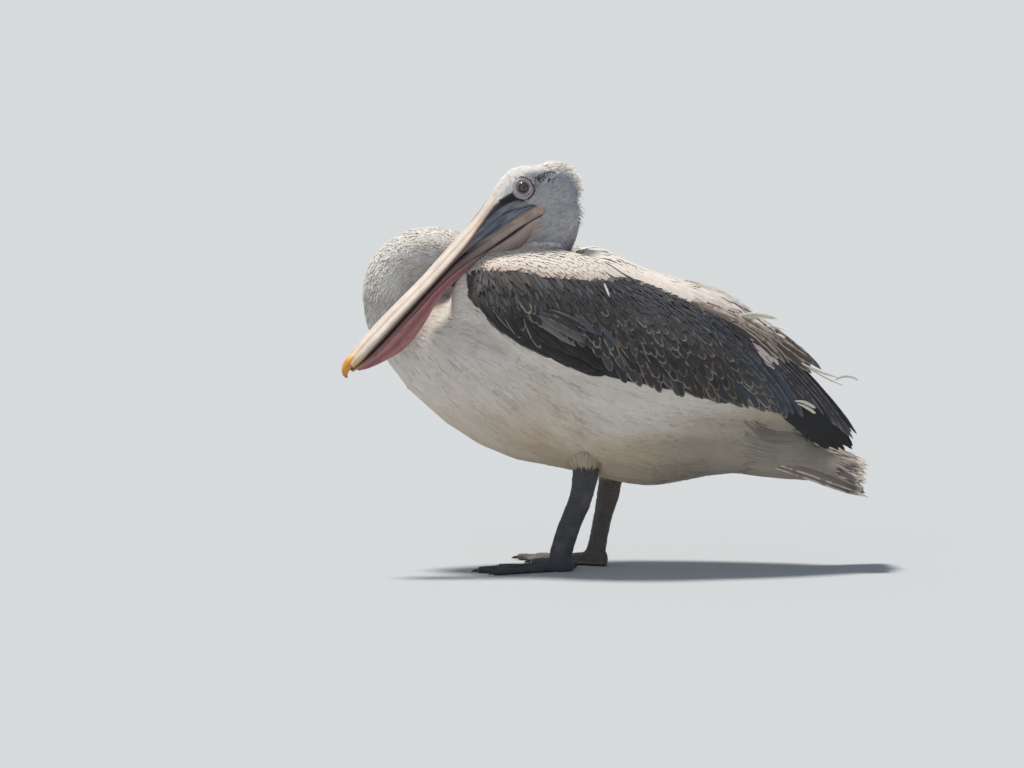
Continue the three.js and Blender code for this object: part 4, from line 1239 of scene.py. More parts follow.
def flecks():
    """Dark hair-like strokes behind and above each eye: partly dark feathers, partly painted shadow under the
    crown.
    """
    a, b, c = to_head(skin_points).T
    spot = (((a + 19) / 16) ** 2 + ((c - 47 - 0.5 * (a + 19)) / 6) ** 2 < 1) & (np.abs(b) > 14)
    picked, roots = scatter(spot, 0.6)
    n = len(picked)
    lie = -HEAD_TURN[:, 0] * 0.75 + HEAD_TURN[:, 2] * 0.25 + RNG.normal(0, 0.35, (n, 3))
    path, normal = hugging(roots, skin_normals[picked], lie, RNG.uniform(5, 9, n), SPIKE)
    tint = colour(0.13, 0.14, 0.18) * RNG.uniform(0.7, 1.6, (n, 1))
    vanes("plumes_fleck", SPIKE, path, normal, RNG.uniform(0.5, 0.9, n), (0.3, 1.0, 1.4), 0.3, tint,
          "plumage_head", DOWN, head_unwrap(roots), curl=RNG.uniform(0, 1, n), sway=RNG.normal(0, 1.0, n))


nape_tufts()
ruffs()
flecks()

skin = new_piece("skin", skin_points, [skin_faces], SKIN, FLESH)
paint(skin, "tint", blend(skin_tint * 0.97, skin_tint, face_amount))

# ---- Wings ----


def wing_spot(x, share, way):
    """Where a place of the closed wing lies, `share` down from its top edge."""
    s = wing_at(x)
    first, last = wing_span(s)
    turn = first + (last - first) * share
    return on_oval(x, *s.T[1:4], turn, wing_depth(s.T, share), way, corner_power(x))


def down_and_back(slope, way, outward=0.0):
    """Headings that slope down towards the tail, in degrees below the level."""
    turn = np.radians(slope)
    return np.stack([np.cos(turn), np.full(len(turn), way * outward), -np.sin(turn)], 1)


def wing_grid(first, last, gap, step):
    """Roots over the closed wing: places along it and shares down it, in offset rows, a little shaken."""
    xs, shares = [], []
    for row, share in enumerate(np.arange(first, last, step / WING_DROP)):
        x = np.arange(-217 + (row % 2) * gap / 2, 300, gap)
        xs.append(x + RNG.normal(0, gap * 0.16, len(x)))
        shares.append(share + RNG.normal(0, 0.16 * step / WING_DROP, len(x)))
    return np.concatenate(xs), np.concatenate(shares)


def covert_slope(x, n):
    """Slopes of the wing's coverts in degrees below the level, a little shaken."""
    return 65 - 17 * ramp(x, 120, 300) - 10 * ramp(-x, 120, 205) + RNG.normal(0, 5, n)


def cut_short(path, template, length, limit):
    """Lengths that end each path where it would pass below a line over the side."""
    s = template.stations
    over = path[..., 2] - limit(path[..., 0])
    k = np.maximum((over < 0).argmax(1), 1)
    row = np.arange(len(path))
    before, after = over[row, k - 1], over[row, k]
    share = np.clip(before / np.maximum(before - after, 1e-6), 0, 1)
    stop = np.where(over[:, 0] < 0, 0, s[k - 1] + (s[k] - s[k - 1]) * share)
    return length * np.where((over < 0).any(1), stop, 1.0)


def wing_vanes(name, template, way, x, share, length, width, lift, centre, rim, material, uv_size, shake=0.8,
               stiffness=0.3, limit=None, shortest=8, **more):
    """Vanes rooted on the closed wing that hug it down and back, cut short at a line if there is one."""
    spots = wing_spot(x, share, way)
    roots, normals = nearest(spots)
    heading = down_and_back(covert_slope(x, len(x)), way)
    path, normal = hugging(roots, normals, heading, length, template, stiffness)
    if limit is not None:
        cut = cut_short(path, template, length, limit)
        keep = cut > shortest
        x, share, length, width, centre, rim = (v[keep] for v in (x, share, cut, width, centre, rim))
        more = {key: value[keep] if np.ndim(value) == 2 else value for key, value in more.items()}
        path, normal = hugging(roots[keep], normals[keep], heading[keep], length, template, stiffness)
    uv = np.stack([scaled(x, -218, 300), scaled(share, -0.05, 1)], 1)
    layer = RNG.random(len(x))[:, None] * shake
    vanes(name, template, path, normal, width, np.array(lift) + layer * (0.2, 1, 1), 0.45, centre,
          "plumage_coverts", material, uv, uv_size, rim=rim, camber=0.16, ragged=0.2, free=True, **more)


def small_coverts(side, way):
    """Velvet dark feathers of the upper wing, with a few pale streaks, their upper rows painted bluer and
    darker as shade.
    """
    x, share = wing_grid(0.0, 0.95, 5.4, 5.8)
    spots = wing_spot(x, share, way)
    keep = (spots[:, 2] < band_edge(x) + 3) & (spots[:, 2] > black_edge(x) + 8)
    keep &= (x < 262) & ((share < 0.62) | (x < -80))
    x, share, spots = x[keep], share[keep], spots[keep]
    n = len(x)
    mottle = patches(spots, 16, 61)
    # Partly painted shade: dark grey-brown coverts, painted bluer and darker towards the top of the dark
    # zone, as in shade under a blue sky.
    tint = blend(colour(0.155, 0.165, 0.195), colour(0.225, 0.20, 0.19), ramp(share, 0.2, 0.6))
    tint = blend(tint, colour(0.25, 0.22, 0.205), ramp(-x, 110, 180) * 0.7) * (0.65 + 0.7 * mottle)[:, None]
    pale = (RNG.random(n) < 0.09 + 0.20 * ramp(share, 0.25, 0.55)) * RNG.uniform(0.15, 0.8, n)
    tint = blend(tint, colour(0.40, 0.41, 0.44), pale)
    rim = blend(tint, colour(0.40, 0.40, 0.41), RNG.random(n) ** 2 * 0.5 * ramp(share, 0.12, 0.4))
    length = (19 + 12 * ramp(share, 0.1, 0.6)) * RNG.uniform(0.8, 1.2, n)
    length = length * (1 - 0.35 * ramp(-x, 170, 205))
    wing_vanes(f"coverts_small_{side}", SMALL, way, x, share, length, (1.9 + 1.1 * ramp(share, 0.1, 0.6))
               * RNG.uniform(0.8, 1.2, n), (0.6, 2.4, 3.0), tint, rim, VANE, (0.006, 0.012))


def large_coverts(side, way):
    """Long brown-black feathers of the lower wing with pale rims, in rows up from its lower edge."""
    xs, shares, lengths = [], [], []
    for row in range(8):
        x = np.arange(-217 + (row % 2) * 7, 300, 14.0)
        x = x + RNG.normal(0, 1.8, len(x))
        s = wing_at(x)
        height = s[:, 4] - s[:, 5]
        length = (58 - 1.5 * row) * RNG.uniform(0.85, 1.12, len(x)) * (1 - 0.25 * ramp(x, 200, 290))
        xs.append(x)
        lengths.append(length)
        shares.append(1.05 - (length * 0.9 + row * 15 + RNG.normal(0, 2.0, len(x))) / (height * 1.08))
    x, share, length = (np.concatenate(v) for v in (xs, shares, lengths))
    spots = wing_spot(x, share, way)
    tip = spots[:, 2] - length * 0.75
    keep = (tip > black_edge(x) - 4) & (share > 0.32) & (x < 285)
    keep &= spots[:, 2] < band_edge(x) - 22
    x, share, length = x[keep], share[keep], length[keep]
    n = len(x)
    tint = blend(colour(0.14, 0.12, 0.112), colour(0.26, 0.225, 0.20), RNG.random(n))
    greyed = np.maximum(ramp(x, 170, 270), RNG.random(n) < 0.2) * 0.8
    tint = blend(tint, colour(0.27, 0.28, 0.30), greyed)
    rim = blend(tint, colour(0.64, 0.60, 0.55), RNG.uniform(0.2, 0.95, n))
    wing_vanes(f"coverts_{side}", BROAD, way, x, share, length, RNG.uniform(6.2, 8.6, n), (0.3, 1.8, 2.8),
               tint, rim, VANE, (0.018, 0.040), shake=0.5, stiffness=0.5,
               replaces=[f"wing_{side}_arm", f"wing_{side}_secondaries"])


def band_tufts(side, way):
    """The pale top of the closed wing, painted as lit by the sun: short soft feathers whose ragged fringe
    falls over the dark ones.
    """
    x, share = wing_grid(-0.05, 0.62, 4.6, 4.4)
    spots = wing_spot(x, share, way)
    keep = (spots[:, 2] > band_edge(x)) & (x < 130)
    x, share, spots = x[keep], share[keep], spots[keep]
    n = len(x)
    low = spots[:, 2] - band_edge(x)
    # Painted light: pinkish tan at the band's edge to white above, where sun falls on the wing's top.
    tint = blend(colour(0.72, 0.62, 0.55), colour(0.90, 0.865, 0.83), ramp(low, 3, 20))
    tint = tint * RNG.uniform(0.9, 1.06, (n, 1))
    tip = blend(tint, colour(0.90, 0.84, 0.79), 0.4)
    wing_vanes(f"band_{side}", SMALL, way, x, share, RNG.uniform(12, 19, n), RNG.uniform(1.8, 2.6, n),
               (0.6, 1.5, 1.9), tint, tip, SILK, (0.006, 0.012), shake=0.3, shortest=5, tip_tint=tip,
               limit=lambda at: band_edge(at) - 2 + 3.4 * np.sin(at * 0.31 + 3 * np.sin(at * 0.11)))


def side_paths(table, way, template, lift):
    """Paths of long vanes on the flank, from rows of root x, z, tip x, z, the tip's distance out and sag."""
    s = template.stations
    rows = np.array(table, float)
    x = rows[:, 0:1] + (rows[:, 2:3] - rows[:, 0:1]) * s
    z = rows[:, 1:2] + (rows[:, 3:4] - rows[:, 1:2]) * s + rows[:, 5:6] * 4 * s * (1 - s)
    out = np.empty_like(x)
    for i in range(len(rows)):
        last = None
        for k in range(len(s)):
            hit = TREE.ray_cast(Vector((x[i, k], way * 400, z[i, k])), Vector((0, -way, 0)))
            free = rows[i, 4]
            if hit[0] is not None:
                last = abs(hit[0][1]) if hit[0][1] * way > 0 else 0.0
                out[i, k] = last
            else:
                out[i, k] = -1
        known = out[i] >= 0
        if known.any():
            end = np.nonzero(known)[0][-1]
            edge = out[i, end]
            rest = np.arange(len(s)) > end
            if rest.any():
                t = (s[rest] - s[end]) / (1 - s[end])
                out[i, rest] = edge + (free - edge) * t
            out[i, ~known & ~rest] = edge
        else:
            out[i] = free
    for _ in range(3):
        out[:, 1:-1] = np.maximum(out[:, 1:-1], (out[:, :-2] + out[:, 2:]) / 2)
    path = np.stack([x, way * (out + lift), z], -1)
    travel = unit(np.gradient(path, axis=1))
    return path, across_to(np.broadcast_to((0.0, way, 0.22), path.shape), travel)


def laid(name, table, way, template, lift, width, centre, rim, slot, replaces=(), thick=0.7, sway=0.0,
         ragged=0.1):
    """Long vanes of one group, spread over the map side by side."""
    path, normal = side_paths(table, way, template, lift)
    n = len(path)
    uv = np.stack([(np.arange(n) + 0.5) / n, np.full(n, 0.5)], 1)
    vanes(name, template, path, normal, width, (0, 0, 0), thick, centre, slot, VANE, uv, (0.9 / n, 0.94),
          rim=rim, replaces=replaces, camber=0.12, sway=sway, ragged=ragged, free=True)


def fan(count, first, last, jitter):
    """Rows from one row to another, evenly spaced and then shaken."""
    t = np.linspace(0, 1, count)[:, None]
    rows = np.array(first, float) + (np.array(last, float) - np.array(first, float)) * t
    return rows + RNG.normal(0, jitter, rows.shape) * (1, 1, 1, 1, 0, 0)


FLIGHT = [  # group, count, first and last row, shake, lift, widths, tones, their spread, rim, slot, ragged
    ("primaries", 10, (262, 290, 372, 200, 44, 0), (304, 322, 414, 199, 38, 3), 2, 1.2, (8, 9),
     ((0.075, 0.068, 0.07),), None, (0.14, 0.125, 0.12), "plumage_flight", 0.1),
    ("secondaries", 14, (64, 366, 172, 290, 110, -2), (246, 370, 332, 250, 58, 2), 2, 2.2, (10, 12),
     ((0.16, 0.155, 0.16), (0.24, 0.265, 0.305)), (0.85, 1.15), (0.38, 0.38, 0.38), "plumage_coverts", 0.1),
    ("blades", 9, (262, 362, 352, 250, 46, 2), (304, 350, 420, 216, 36, 4), 2, 3.6, (7, 5.5),
     ((0.25, 0.225, 0.24),), (0.8, 1.25), (0.45, 0.43, 0.45), "plumage_flight", 0.2),
    ("tertials", 9, (205, 414, 284, 344, 30, 3), (262, 400, 366, 322, 28, 4), 4, 4.8, (9, 6),
     ((0.33, 0.275, 0.24),), (0.75, 1.35), (0.74, 0.68, 0.62), "plumage_scapulars", 0.25),
    ("crest", 11, (146, 444, 244, 396, 20, 2), (232, 418, 340, 340, 24, 3), 3, 6.0, (8, 5.0),
     ((0.60, 0.53, 0.48),), (0.7, 1.25), (0.84, 0.79, 0.73), "plumage_scapulars", 0.3),
]


def flight_feathers(side, way):
    """The long feathers of the closed wing, group over group from its tip to the ones beside the back."""
    for name, count, first, last, shake, lift, wide, tones, spread, rim, slot, ragged in FLIGHT:
        rows = fan(count, first, last, shake)
        tint = blend(colour(*tones[0]), colour(*tones[-1]), np.linspace(0, 1, count))
        if spread:
            tint = tint * RNG.uniform(*spread, (count, 1))
        covers = [f"wing_{side}_primaries"] if name == "primaries" else []
        laid(f"{name}_{side}", rows, way, LONG, lift, np.linspace(*wide, count), tint, colour(*rim), slot,
             replaces=covers, ragged=ragged)


def carpal_feathers(side, way):
    """Black feathers along the front of the closed wing's lower edge, and the paler ones that cross them."""
    outer = fan(11, (-214, 462, -146, 398, 118, -2), (-88, 376, 8, 331, 128, -2), 2)
    inner = fan(8, (-192, 444, -116, 396, 122, 0), (-60, 400, 8, 340, 128, 0), 2)
    black = colour(0.075, 0.065, 0.066) * RNG.uniform(0.7, 1.9, (19, 1))
    laid(f"carpal_{side}", np.concatenate([outer, inner]), way, LONG, 3.6,
         np.append(np.linspace(8, 11, 11), np.linspace(8, 10, 8)), black, colour(0.20, 0.18, 0.17),
         "plumage_coverts")
    wrist = fan(14, (-217, 500, -211, 466, 100, 1), (-212, 462, -176, 418, 112, -1), 1.5)
    brown = colour(0.17, 0.155, 0.15) * RNG.uniform(0.7, 1.3, (14, 1))
    laid(f"wrist_{side}", wrist, way, SMALL, 3.6, 3.2, brown, colour(0.34, 0.32, 0.31), "plumage_coverts")
    patch = [(-112, 424, -40, 378, 122, 1), (-104, 428, -26, 384, 122, 1), (-94, 432, -22, 394, 122, 1),
             (-84, 436, -16, 402, 122, 2)]
    tones = colour((0.45, 0.43, 0.42), (0.40, 0.38, 0.37), (0.27, 0.235, 0.215), (0.20, 0.175, 0.165))
    laid(f"patch_{side}", patch, way, LONG, 5.2, (5.5, 5.5, 5, 4.5), tones, colour(0.52, 0.50, 0.48),
         "plumage_coverts", ragged=0.15)
    steel = [(-84, 438, -28, 417, 122, 1), (-42, 430, -12, 399, 122, 1), (-34, 428, -6, 396, 122, 1),
             (0, 410, 24, 380, 122, 1), (8, 406, 30, 374, 122, 1)]
    laid(f"steel_{side}", steel, way, LONG, 5.8, (1.8, 3.2, 2.6, 3.0, 2.4), colour(0.33, 0.34, 0.365),
         colour(0.46, 0.47, 0.49), "plumage_coverts", ragged=0.3)
    rimmed = [(-176, 440, -144, 404, 118, 0), (-160, 436, -130, 390, 118, 0), (-124, 428, -97, 374, 120, 0)]
    laid(f"rimmed_{side}", rimmed, way, BROAD, 5.8, (5.0, 6, 8), colour(0.16, 0.135, 0.12),
         colour(0.54, 0.51, 0.47), "plumage_coverts")


def stray_feathers():
    """Loose feathers on the left side: a curl, a pale tip, frayed wisps and one caught on the primaries."""
    cream = colour(0.90, 0.85, 0.78)
    rows = [(6, 478, 12, 456, 140, 2), (214, 416, 291, 413, 40, 5), (232, 412, 262, 408, 40, 2),
            (262, 398, 311, 389, 40, 4), (258, 392, 305, 383, 40, 3), (300, 358, 392, 311, 30, -4),
            (384, 310, 425, 312, 20, 7), (318, 350, 396, 296, 26, -3), (318, 280, 364, 262, 40, 5),
            (322, 276, 360, 256, 40, 2)]
    width = (1.7, 4.2, 2.4, 2.0, 1.6, 2.0, 2.3, 1.7, 2.6, 2.2)
    laid("stray_feathers", rows, -1, LONG, 7.5, width, cream, colour(0.95, 0.92, 0.87), "plumage_scapulars",
         thick=0.5, ragged=0.5, sway=np.array([3, 0, 2, 3, -2, 4, -3, 7, -6, -4.0]))


def scapular_rows(side, way):
    """Long silky feathers of the back, whose pointed ends make the fringe over the wing."""
    rows = []
    for k, turn in enumerate(np.arange(2, 52, 3.1)):
        for x in np.arange(-80 + (k % 2) * 6, 262, 12):
            if turn < np.interp(x, (-80, -40, 0, 66, 131, 254), (14, 24, 36, 46, 51, 51)):
                rows.append((x, turn))
    rows = np.array(rows) + RNG.normal(0, (2.5, 0.7), (len(rows), 2))
    x, turn = rows[:, 0], np.radians(rows[:, 1])
    z, high, wide = (np.interp(x, SCAPULARS[:, 0], SCAPULARS[:, k]) for k in (1, 2, 3))
    spots = np.stack([x, way * wide * np.sin(turn), z + high * np.cos(turn)], 1)
    outer = ramp(np.degrees(turn), 8, 44)
    slope = 12 + 20 * outer + 12 * ramp(x, 60, 220) + RNG.normal(0, 3, len(x))
    length = RNG.uniform(46, 66, len(x)) + 14 * ramp(x, 60, 200)
    roots, normals = nearest(spots)
    heading = down_and_back(slope, way, 0.35)
    path, _ = hugging(roots, normals, heading, length, LONG, 0.2)
    length = cut_short(path, LONG, length, band_edge) * RNG.uniform(0.92, 1.0, len(x))
    on_back = (normals[:, 2] > 0.35) | (x > 0)
    keep = (length > 16) & on_back
    x, turn, length, outer, spots = x[keep], turn[keep], length[keep], outer[keep], spots[keep]
    path, normal = hugging(roots[keep], normals[keep], heading[keep], length, LONG, 0.2)
    n = len(x)
    high = (0.3, 1.2, 1.8) + outer[:, None] * (0.3, 2.0, 3.2)
    tone = layered(
        colour(0.90, 0.87, 0.84),
        ((0.72, 0.645, 0.595), outer * 0.9 * ramp(x, -30, 60)),
        ((0.50, 0.45, 0.42), ramp(x, 60, 210) * RNG.random(n) * 0.85),
        ((0.25, 0.22, 0.21), (ramp(x, 60, 160) * (RNG.random(n) < 0.10)) * 0.7),
    )
    uv = np.stack([scaled(x, -84, 266), scaled(np.degrees(turn), 0, 54)], 1)
    vanes(f"scapular_vanes_{side}", LONG, path, normal, RNG.uniform(4.6, 7.0, n), high, np.full(n, 0.5),
          tone, "plumage_scapulars", SILK, uv, (0.03, 0.06), rim=blend(tone, colour(0.90, 0.86, 0.81), 0.45),
          replaces=[f"scapulars_{side}"], camber=0.14, ragged=0.3,
          tip_tint=blend(tone, colour(0.86, 0.80, 0.75), 0.25), free=True)


for side, way in SIDES.items():
    large_coverts(side, way)
    small_coverts(side, way)
    carpal_feathers(side, way)
    flight_feathers(side, way)
    scapular_rows(side, way)
    band_tufts(side, way)
stray_feathers()

# ---- Tail ----


TAIL_BASE = np.array([  # x, bottom, top and half width of the body as it runs out over the tail
    (215, 156, 275, 74), (240, 152, 252, 64), (262, 150, 238, 58), (295, 148, 226, 54), (330, 146, 216, 57),
    (361, 142, 207, 64), (394, 129, 195, 71), (426, 116, 182, 77), (447, 110, 172, 80),
], float)


TAIL_ROOT, TAIL_REACH = 262, 184  # x where the fan starts, and its length


def tail_arc(x, turn):
    """Where the fan of the tail lies for a place along it and a turn from its ridge, and its normal there."""
    s = (x - TAIL_ROOT) / TAIL_REACH
    wide, high = 42 + 36 * s, 44 + 13 * s
    ridge = 222 - 52 * s + 34 * s * (1 - s)
    point = np.stack([x + 0 * turn, wide * np.sin(turn), ridge - high * (1 - np.cos(turn))], -1)
    return point, unit(np.stack([0.25 + 0 * turn, np.sin(turn) / wide * high, np.cos(turn) + 0 * x], -1))


def tail():
    """A roof of feathers over the tail, the outer ones turned sideways, and a pale fringe on their ends."""
    n = 24
    turn = np.radians(np.linspace(-88, 88, n))[:, None]
    end = 440 - 10 * np.abs(np.sin(turn)) + RNG.normal(0, 3, (n, 1))
    x = TAIL_ROOT + (end - TAIL_ROOT) * LONG.stations
    path, normal = tail_arc(x, turn + 0 * x)
    path = path + normal * (1.3 * (np.arange(n) % 2))[:, None, None]
    tone = colour(0.55, 0.50, 0.45) * RNG.uniform(0.8, 1.1, (n, 1))
    uv = np.stack([(np.arange(n) + 0.5) / n, np.full(n, 0.5)], 1)
    vanes("tail_vanes", LONG, path, normal, np.full(n, 10.5), (0, 0.4, 0.4), 0.8, tone, "plumage_tail",
          VANE, uv, (0.9 / n, 0.94), rim=colour(0.80, 0.75, 0.70), replaces=["tail"], camber=0.05,
          tip_tint=colour(0.22, 0.19, 0.20), ragged=0.06, tip_power=5, free=True)
    n = 110
    turn = np.radians(RNG.uniform(-90, 90, n))[:, None]
    start = (426 - 10 * np.abs(np.sin(turn)) + RNG.normal(0, 4, (n, 1)))
    x = start + RNG.uniform(9, 16, (n, 1)) * SMALL.stations
    path, normal = tail_arc(x, turn + 0 * x)
    tint = colour(0.82, 0.76, 0.70) * RNG.uniform(0.8, 1.1, (n, 1))
    uv = np.stack([scaled(turn[:, 0], -1.6, 1.6), scaled(start[:, 0], 400, 440)], 1)
    vanes("tail_fringe", SMALL, path, normal, RNG.uniform(0.8, 1.5, n), (1.0, 1.4, 1.4), 0.4, tint,
          "plumage_tail", DOWN, uv, (0.01, 0.03), sway=RNG.normal(0, 2.0, n), free=True)


def tail_coverts():
    """Soft feathers from the vent and rump that run out over the tail on every side."""
    n = 760
    turn = RNG.uniform(-math.pi, math.pi, n)
    start = RNG.uniform(222, 318, n) + 26 * np.abs(np.sin(turn)) * RNG.random(n)
    under = ramp(-np.cos(turn), 0.2, 0.8)
    end = np.minimum(start + RNG.uniform(60, 110, n), RNG.uniform(372, 430, n) - 30 * under)
    s = LONG.stations
    x = start[:, None] + (end - start)[:, None] * s
    low, high, wide = (np.interp(x, TAIL_BASE[:, 0], TAIL_BASE[:, k]) for k in (1, 2, 3))
    across, up = np.sin(turn)[:, None], np.cos(turn)[:, None]
    y = wide * np.sign(across) * np.abs(across) ** 0.9
    z = (low + high) / 2 + (high - low) / 2 * up
    flat = ramp(x, 330, 400) * ramp(-up, -0.2, 0.6)
    z = z + flat * (high - low) * 0.25 * (1 - np.abs(across))
    inward = 2.6 - 3.0 * s
    centre = np.stack([x, y * (1 - inward / wide), z - inward * up], -1)
    spots = centre.reshape(-1, 3)
    places, normals = nearest(spots)
    sunk = (dot(spots - places, normals) < 1.5) & (spots[:, 0] < 385)
    spots[sunk] = places[sunk] + normals[sunk] * 1.5
    centre = spots.reshape(centre.shape)
    normal = np.stack([0.25 + 0 * y, across / wide * 60 + 0 * y, up + 0 * y], -1)
    normal = across_to(normal, unit(np.gradient(centre, axis=1)))
    tint = body_tint(centre[:, 0]) * RNG.uniform(0.93, 1.05, (n, 1))
    tint = blend(tint, colour(0.69, 0.62, 0.545), 0.12 + 0.3 * under)
    uv = np.stack([scaled(start, 215, 325), scaled(turn, -math.pi, math.pi)], 1)
    vanes("tail_coverts", LONG, centre, normal, RNG.uniform(2.4, 3.8, n), (0, 0.6, 0.8), 0.6, tint,
          "plumage_tail", SILK, uv, (0.03, 0.03), rim=np.clip(tint * 1.06, 0, 0.9), camber=0.12, ragged=0.3,
          tip_tint=blend(tint, colour(0.60, 0.55, 0.50), 0.7), free=True)


tail()
tail_coverts()

# ---- Bill ----


def bill_piece(name, rings, tint, material, replaces):
    """A piece of the bill through rings in the head's own frame, with a tint for each of their points."""
    points, faces = loft(rings)
    piece = new_piece(name, from_head(points), faces, material, replaces)
    flat = tint.reshape(-1, 3)
    paint(piece, "tint", np.concatenate([flat, tint[0].mean(0)[None], tint[-1].mean(0)[None]]))


def under_skin(rings, s, start, end, depth):
    """Rings drawn in towards their middles near the head, where the skin grows over the bill's base."""
    reach = (s[:, 2] + s[:, 3]) / 2
    shrink = 1 - depth * (1 - ramp(s[:, 0], start, end)) / np.minimum(reach, s[:, 4])
    middle = np.stack([s[:, 0], 0 * s[:, 0], s[:, 1]], 1)[:, None]
    return middle + (rings - middle) * np.stack([0 * shrink + 1, shrink, shrink], 1)[:, None]


def gape():
    """The folded skin at the corner of the mouth, which fills the gap between the mandibles near the head."""
    t = np.linspace(0, 1, 60)
    x = 34 + 120 * t
    upper, lower = (np.stack([np.interp(x, table[:, 0], table[:, k]) for k in range(5)], 1)
                    for table in (UPPER_BILL, LOWER_BILL))
    high, low = upper[:, 1] - upper[:, 3], lower[:, 1] + lower[:, 2]
    turn = turns(40)
    wide = np.minimum(upper[:, 4], lower[:, 4]) * (0.965 - 0.16 * t)
    across = wide[:, None] * np.sign(np.cos(turn)) * np.abs(np.cos(turn)) ** 0.5
    rings = np.stack([np.repeat(x[:, None], 40, 1), across,
                      ((high + low) / 2)[:, None] + (9 - 3 * t)[:, None] * np.sin(turn)], -1)
    tint = bare_tint(rings)
    # Painted shade: darker towards the front, where the gape runs into the shadowed gap between the
    # mandibles.
    tint = blend(tint, colour(0.30, 0.25, 0.24), ramp(rings[..., 0], 110, 150) * 0.8)
    bill_piece("gape_skin", rings, tint, SKIN, [])


def upper_bill():
    """The upper mandible: its ridge and grooves, pale horn above and brown sides, partly painted light and
    shade, and an orange line between.
    """
    s = along(UPPER_BILL, np.linspace(0, 1, 150))
    rings, across, rise = sections(s, 72, 0.8)
    rings = under_skin(rings, s, 48, 82, 2.0)
    x = rings[..., 0]
    up = (rise > 0)[None] * np.ones_like(x)
    ridge = np.exp(-((across / 0.34) ** 4))[None] * up
    groove = bell(np.abs(across), 0.46, 0.10)[None] * up
    fade = ramp(x, 60, 120) * (1 - 0.5 * ramp(x, 380, 420))
    rings[..., 2] += (1.3 * ridge - 1.5 * groove) * fade
    side_line = bell(rise, -0.25, 0.10)[None] * np.ones_like(x)
    rings[..., 1] *= 1 - 0.035 * side_line * fade
    blot = patches(from_head(rings), 14, 22)
    grain = patches(rings, (26, 1.6, 1.6), 21)
    rings[..., 2] += (grain - 0.5) * 0.5 * up
    tint = colour(0.93, 0.89, 0.84)
    tint = layered(
        tint,
        ((0.80, 0.73, 0.68), 0.5 * grain + 0.3 * blot),
        ((0.70, 0.60, 0.55), groove * 0.6),
    )
    # Partly painted light and shade: pale horn above a line that follows the edge of the light, brown sides
    # below it that darken downwards; the horn's own colour is also paler above.
    over = rise[None] - np.interp(x, (50, 70, 95, 117, 139, 165, 195, 236),
                                  (0.6, 0.84, 0.88, 0.80, 0.62, 0.35, 0.08, 0.05))
    side = ramp(-over, -0.08, 0.12)
    brown = blend(colour(0.44, 0.38, 0.36), colour(0.30, 0.25, 0.24), ramp(-rise, 0.3, 0.8)[None])
    face = bare_tint(rings)
    tint = blend(tint, blend(face, brown, ramp(x, 90, 190)), side)
    tint = layered(
        tint,
        ((0.82, 0.55, 0.32), bell(over, 0.03, 0.10) * ramp(x, 80, 150) * 0.75),
        ((0.10, 0.08, 0.085), bell(over, -0.16, 0.17) * (1 - ramp(x, 95, 150))),
        ((0.84, 0.68, 0.46), ramp(x, 385, 418) * 0.7),
    )
    bill_piece("bill_upper_horn", rings, tint, HORN, ["bill_upper"])


def lower_bill():
    """The thin blades of the lower mandible, brown with a paler line."""
    s = along(LOWER_BILL, np.linspace(0, 1, 130))
    rings, _, rise = sections(s, 48, 0.75)
    rings = under_skin(rings, s, 34, 52, 2.6)
    x = rings[..., 0]
    grain = patches(rings, (30, 2, 1.4), 31)
    rings[..., 1] *= 1 - 0.03 * bell(rise, 0.1, 0.22)[None]
    tint = colour(0.40, 0.30, 0.285)
    tint = blend(tint, colour(0.62, 0.54, 0.50), bell(rise, -0.5, 0.25)[None] * 0.7)
    tint = blend(tint, bare_tint(rings), 1 - ramp(x, 95, 190))
    tint = layered(
        tint,
        ((0.62, 0.50, 0.44), 0.35 * grain),
        ((0.75, 0.55, 0.35), ramp(x, 390, 420) * 0.6),
    )
    bill_piece("bill_lower_horn", rings, tint, HORN, ["bill_lower"])


def pouch_skin():
    """The folded pouch under the bill, with pleats along it and veins."""
    rings, across, rise = sections(along(POUCH, np.linspace(0, 1, 170)), 72)
    x = rings[..., 0]
    hang = np.clip(-rise, 0, 1)[None]
    wander = patches(rings * (1, 0, 1), (60, 1, 30), 41)
    pleat = np.cos(rise[None] * 9 + wander * 5 + 0.012 * x)
    fine = np.cos(rise[None] * 26 + wander * 9)
    deep = hang * (0.5 + 0.5 * ramp(x, 60, 200)) * (1 - ramp(x, 385, 412))
    out = (0.9 * pleat + 0.25 * fine) * deep
    rings[..., 1] += out * np.sign(across)[None] * np.abs(across)[None]
    rings[..., 2] += -0.35 * out * hang
    vein = patches(rings, (20, 8, 5), 43)
    tint = colour(0.66, 0.43, 0.44)
    # Painted light and shade: the pleats' crests lighter and their hollows darker; the veins are the skin's
    # own.
    tint = layered(
        tint,
        ((0.76, 0.56, 0.52), ramp(pleat, 0.2, 1) * 0.5),
        ((0.50, 0.30, 0.34), ramp(-pleat, 0.3, 1) * 0.6),
        ((0.45, 0.27, 0.32), ramp(vein, 0.62, 0.8) * 0.5),
    )
    tint = blend(tint, bare_tint(rings), (1 - ramp(x, 110, 230)) * 0.9)
    bill_piece("pouch_skin", rings, tint, POUCH_HIDE, ["pouch"])


